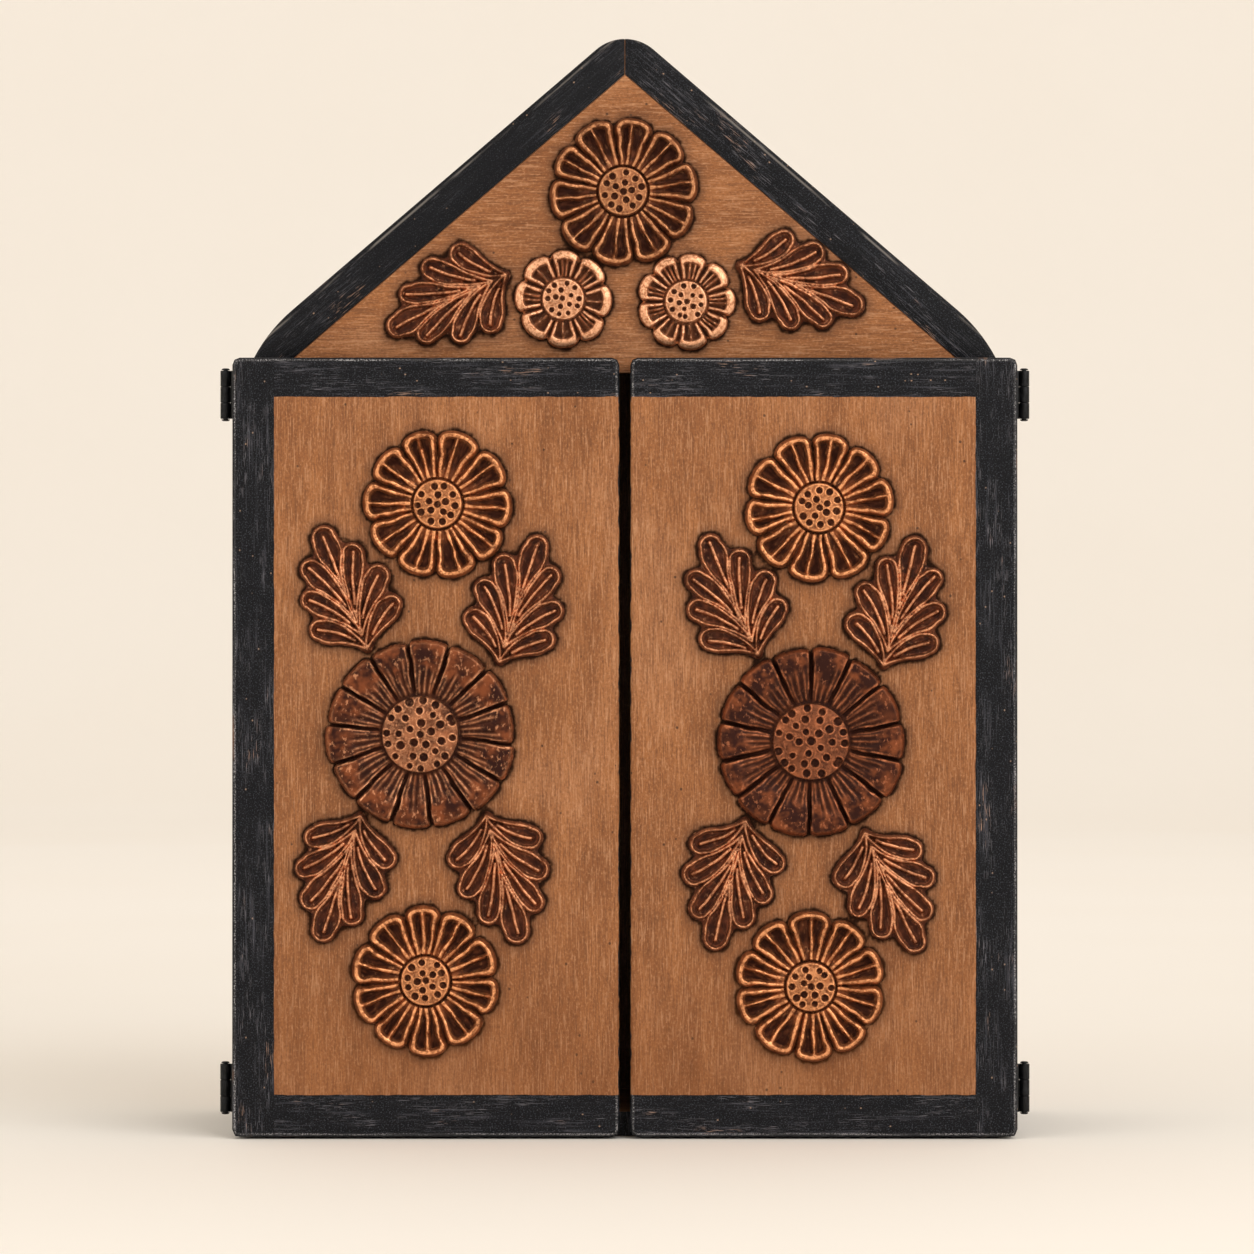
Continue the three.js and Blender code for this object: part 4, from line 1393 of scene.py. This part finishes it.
class SHRINE_OT_leaves(bpy.types.Operator):
    """Make the ten leaves"""

    bl_idname = "shrine.leaves"
    bl_label = "Leaves"

    def execute(self, context):
        copper = context.scene.shrine_copper
        rose = opaque(copper.rose)
        metal = aged_copper("brown copper, leaves", copper, rose, "#743e27", "#3c2018")
        step = LEAF_STEP
        for node, leaf in all_leaves(copper).items():
            leaf_piece(leaf, f"{node}_palmette", node, metal, step)
        return {"FINISHED"}


BOX_MIDDLE = (0, 0, 0.22)
# Name, place, what it points at (all in metres), width and colour of each light.
LIGHTS = (
    ("key", (1.3, -1.8, 1.6), BOX_MIDDLE, 2.2, "#fffdfb"),
    ("fill", (-1.8, -1.9, 1.2), BOX_MIDDLE, 1.8, "#fffcf8"),
    ("wall", (0, 1.6, 2.9), (0, 5, 0.6), 2.0, "#fdfcff"),
)
SKY_STRENGTH = 0.78


class SHRINE_OT_stage(bpy.types.Operator):
    """Make the paper sweep, the lights and the camera"""

    bl_idname = "shrine.stage"
    bl_label = "Stage"

    def execute(self, context):
        stage, scene = context.scene.shrine_stage, context.scene
        bm = bmesh.new()
        floor, curve, wall = 3.6, 1.4, 3.0  # metres: flat radius, bend radius, wall height
        bends = [math.radians(a) for a in range(0, 91, 10)]
        profile = [(0, 0), (1.2, 0), (2.4, 0)]
        profile += [(floor + curve * math.sin(a), curve * (1 - math.cos(a))) for a in bends]
        profile += [(floor + curve, wall)]
        turned_profile(bm, profile, Vector((0, 0, 0)), steps=96, is_closed=False)
        bmesh.ops.remove_doubles(bm, verts=bm.verts, dist=1e-5)
        bmesh.ops.recalc_face_normals(bm, faces=bm.faces)
        if next(face for face in bm.faces if face.normal.z).normal.z < 0:
            bmesh.ops.reverse_faces(bm, faces=bm.faces)
        mesh = bpy.data.meshes.new("paper sweep")
        bm.to_mesh(mesh)
        bm.free()
        mesh.materials.append(sweep_paper("background paper", stage))
        mesh.polygons.foreach_set("use_smooth", [True] * len(mesh.polygons))
        sweep = bpy.data.objects.new("paper_sweep", mesh)
        scene.collection.objects.link(sweep)
        for name, place, target, size, code in LIGHTS:
            watts = getattr(stage, f"{name}_power")
            self.add_light(scene, name, watts, place, Vector(target), size, code)
        world = bpy.data.worlds.new("soft room")
        world.use_nodes = True
        sky = world.node_tree.nodes["Background"]
        sky.inputs["Color"].default_value = linear("#fff2e0")
        sky.inputs["Strength"].default_value = SKY_STRENGTH
        scene.world = world
        scene.view_settings.view_transform = "Standard"
        self.add_camera(scene, stage)
        return {"FINISHED"}

    def add_light(self, scene, name, watts, place, target, size, code):
        lamp = bpy.data.lights.new(name, "AREA")
        lamp.energy, lamp.size, lamp.color = watts, size, linear(code)[:3]
        light = bpy.data.objects.new(name, lamp)
        light.location = place
        light.rotation_euler = (target - light.location).to_track_quat("-Z", "Y").to_euler()
        scene.collection.objects.link(light)

    def add_camera(self, scene, stage):
        lens = bpy.data.cameras.new("camera")
        lens.sensor_width, lens.lens = 36, stage.camera_lens / MM
        camera = bpy.data.objects.new("camera", lens)
        door_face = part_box("left_door")[0].y
        near = door_face - stage.camera_distance
        camera.location = (stage.camera_side, near, stage.camera_height)
        camera.rotation_euler = (math.pi / 2 + stage.camera_tilt, 0, 0)
        scene.collection.objects.link(camera)
        scene.camera = camera


class SHRINE_PT_panel(bpy.types.Panel):
    """Lists the operators in the order that builds the box"""

    bl_idname = "SHRINE_PT_panel"
    bl_label = "Shrine Box"
    bl_space_type = "VIEW_3D"
    bl_region_type = "UI"
    bl_category = "Shrine Box"

    def draw(self, context):
        for operator in OPERATORS:
            self.layout.operator(operator.bl_idname)
        for group in ("shrine_boards", "shrine_copper", "shrine_stage"):
            settings = getattr(context.scene, group)
            box = self.layout.box()
            for name in settings.__annotations__:
                box.prop(settings, name)


GROUPS = {"shrine_boards": ShrineBoards, "shrine_copper": ShrineCopper, "shrine_stage": ShrineStage}
OPERATORS = (
    SHRINE_OT_case,
    SHRINE_OT_gable,
    SHRINE_OT_doors,
    SHRINE_OT_hinges,
    SHRINE_OT_daisies,
    SHRINE_OT_large_flowers,
    SHRINE_OT_small_flowers,
    SHRINE_OT_leaves,
    SHRINE_OT_stage,
)


def register():
    for name, group in GROUPS.items():
        bpy.utils.register_class(group)
        setattr(bpy.types.Scene, name, PointerProperty(type=group))
    for item in (*OPERATORS, SHRINE_PT_panel):
        bpy.utils.register_class(item)


def unregister():
    for item in (SHRINE_PT_panel, *reversed(OPERATORS)):
        bpy.utils.unregister_class(item)
    for name, group in GROUPS.items():
        delattr(bpy.types.Scene, name)
        bpy.utils.unregister_class(group)


def main():
    register()
    for operator in OPERATORS:
        getattr(bpy.ops.shrine, operator.bl_idname.split(".")[1])()


if __name__ == "__main__":
    main()
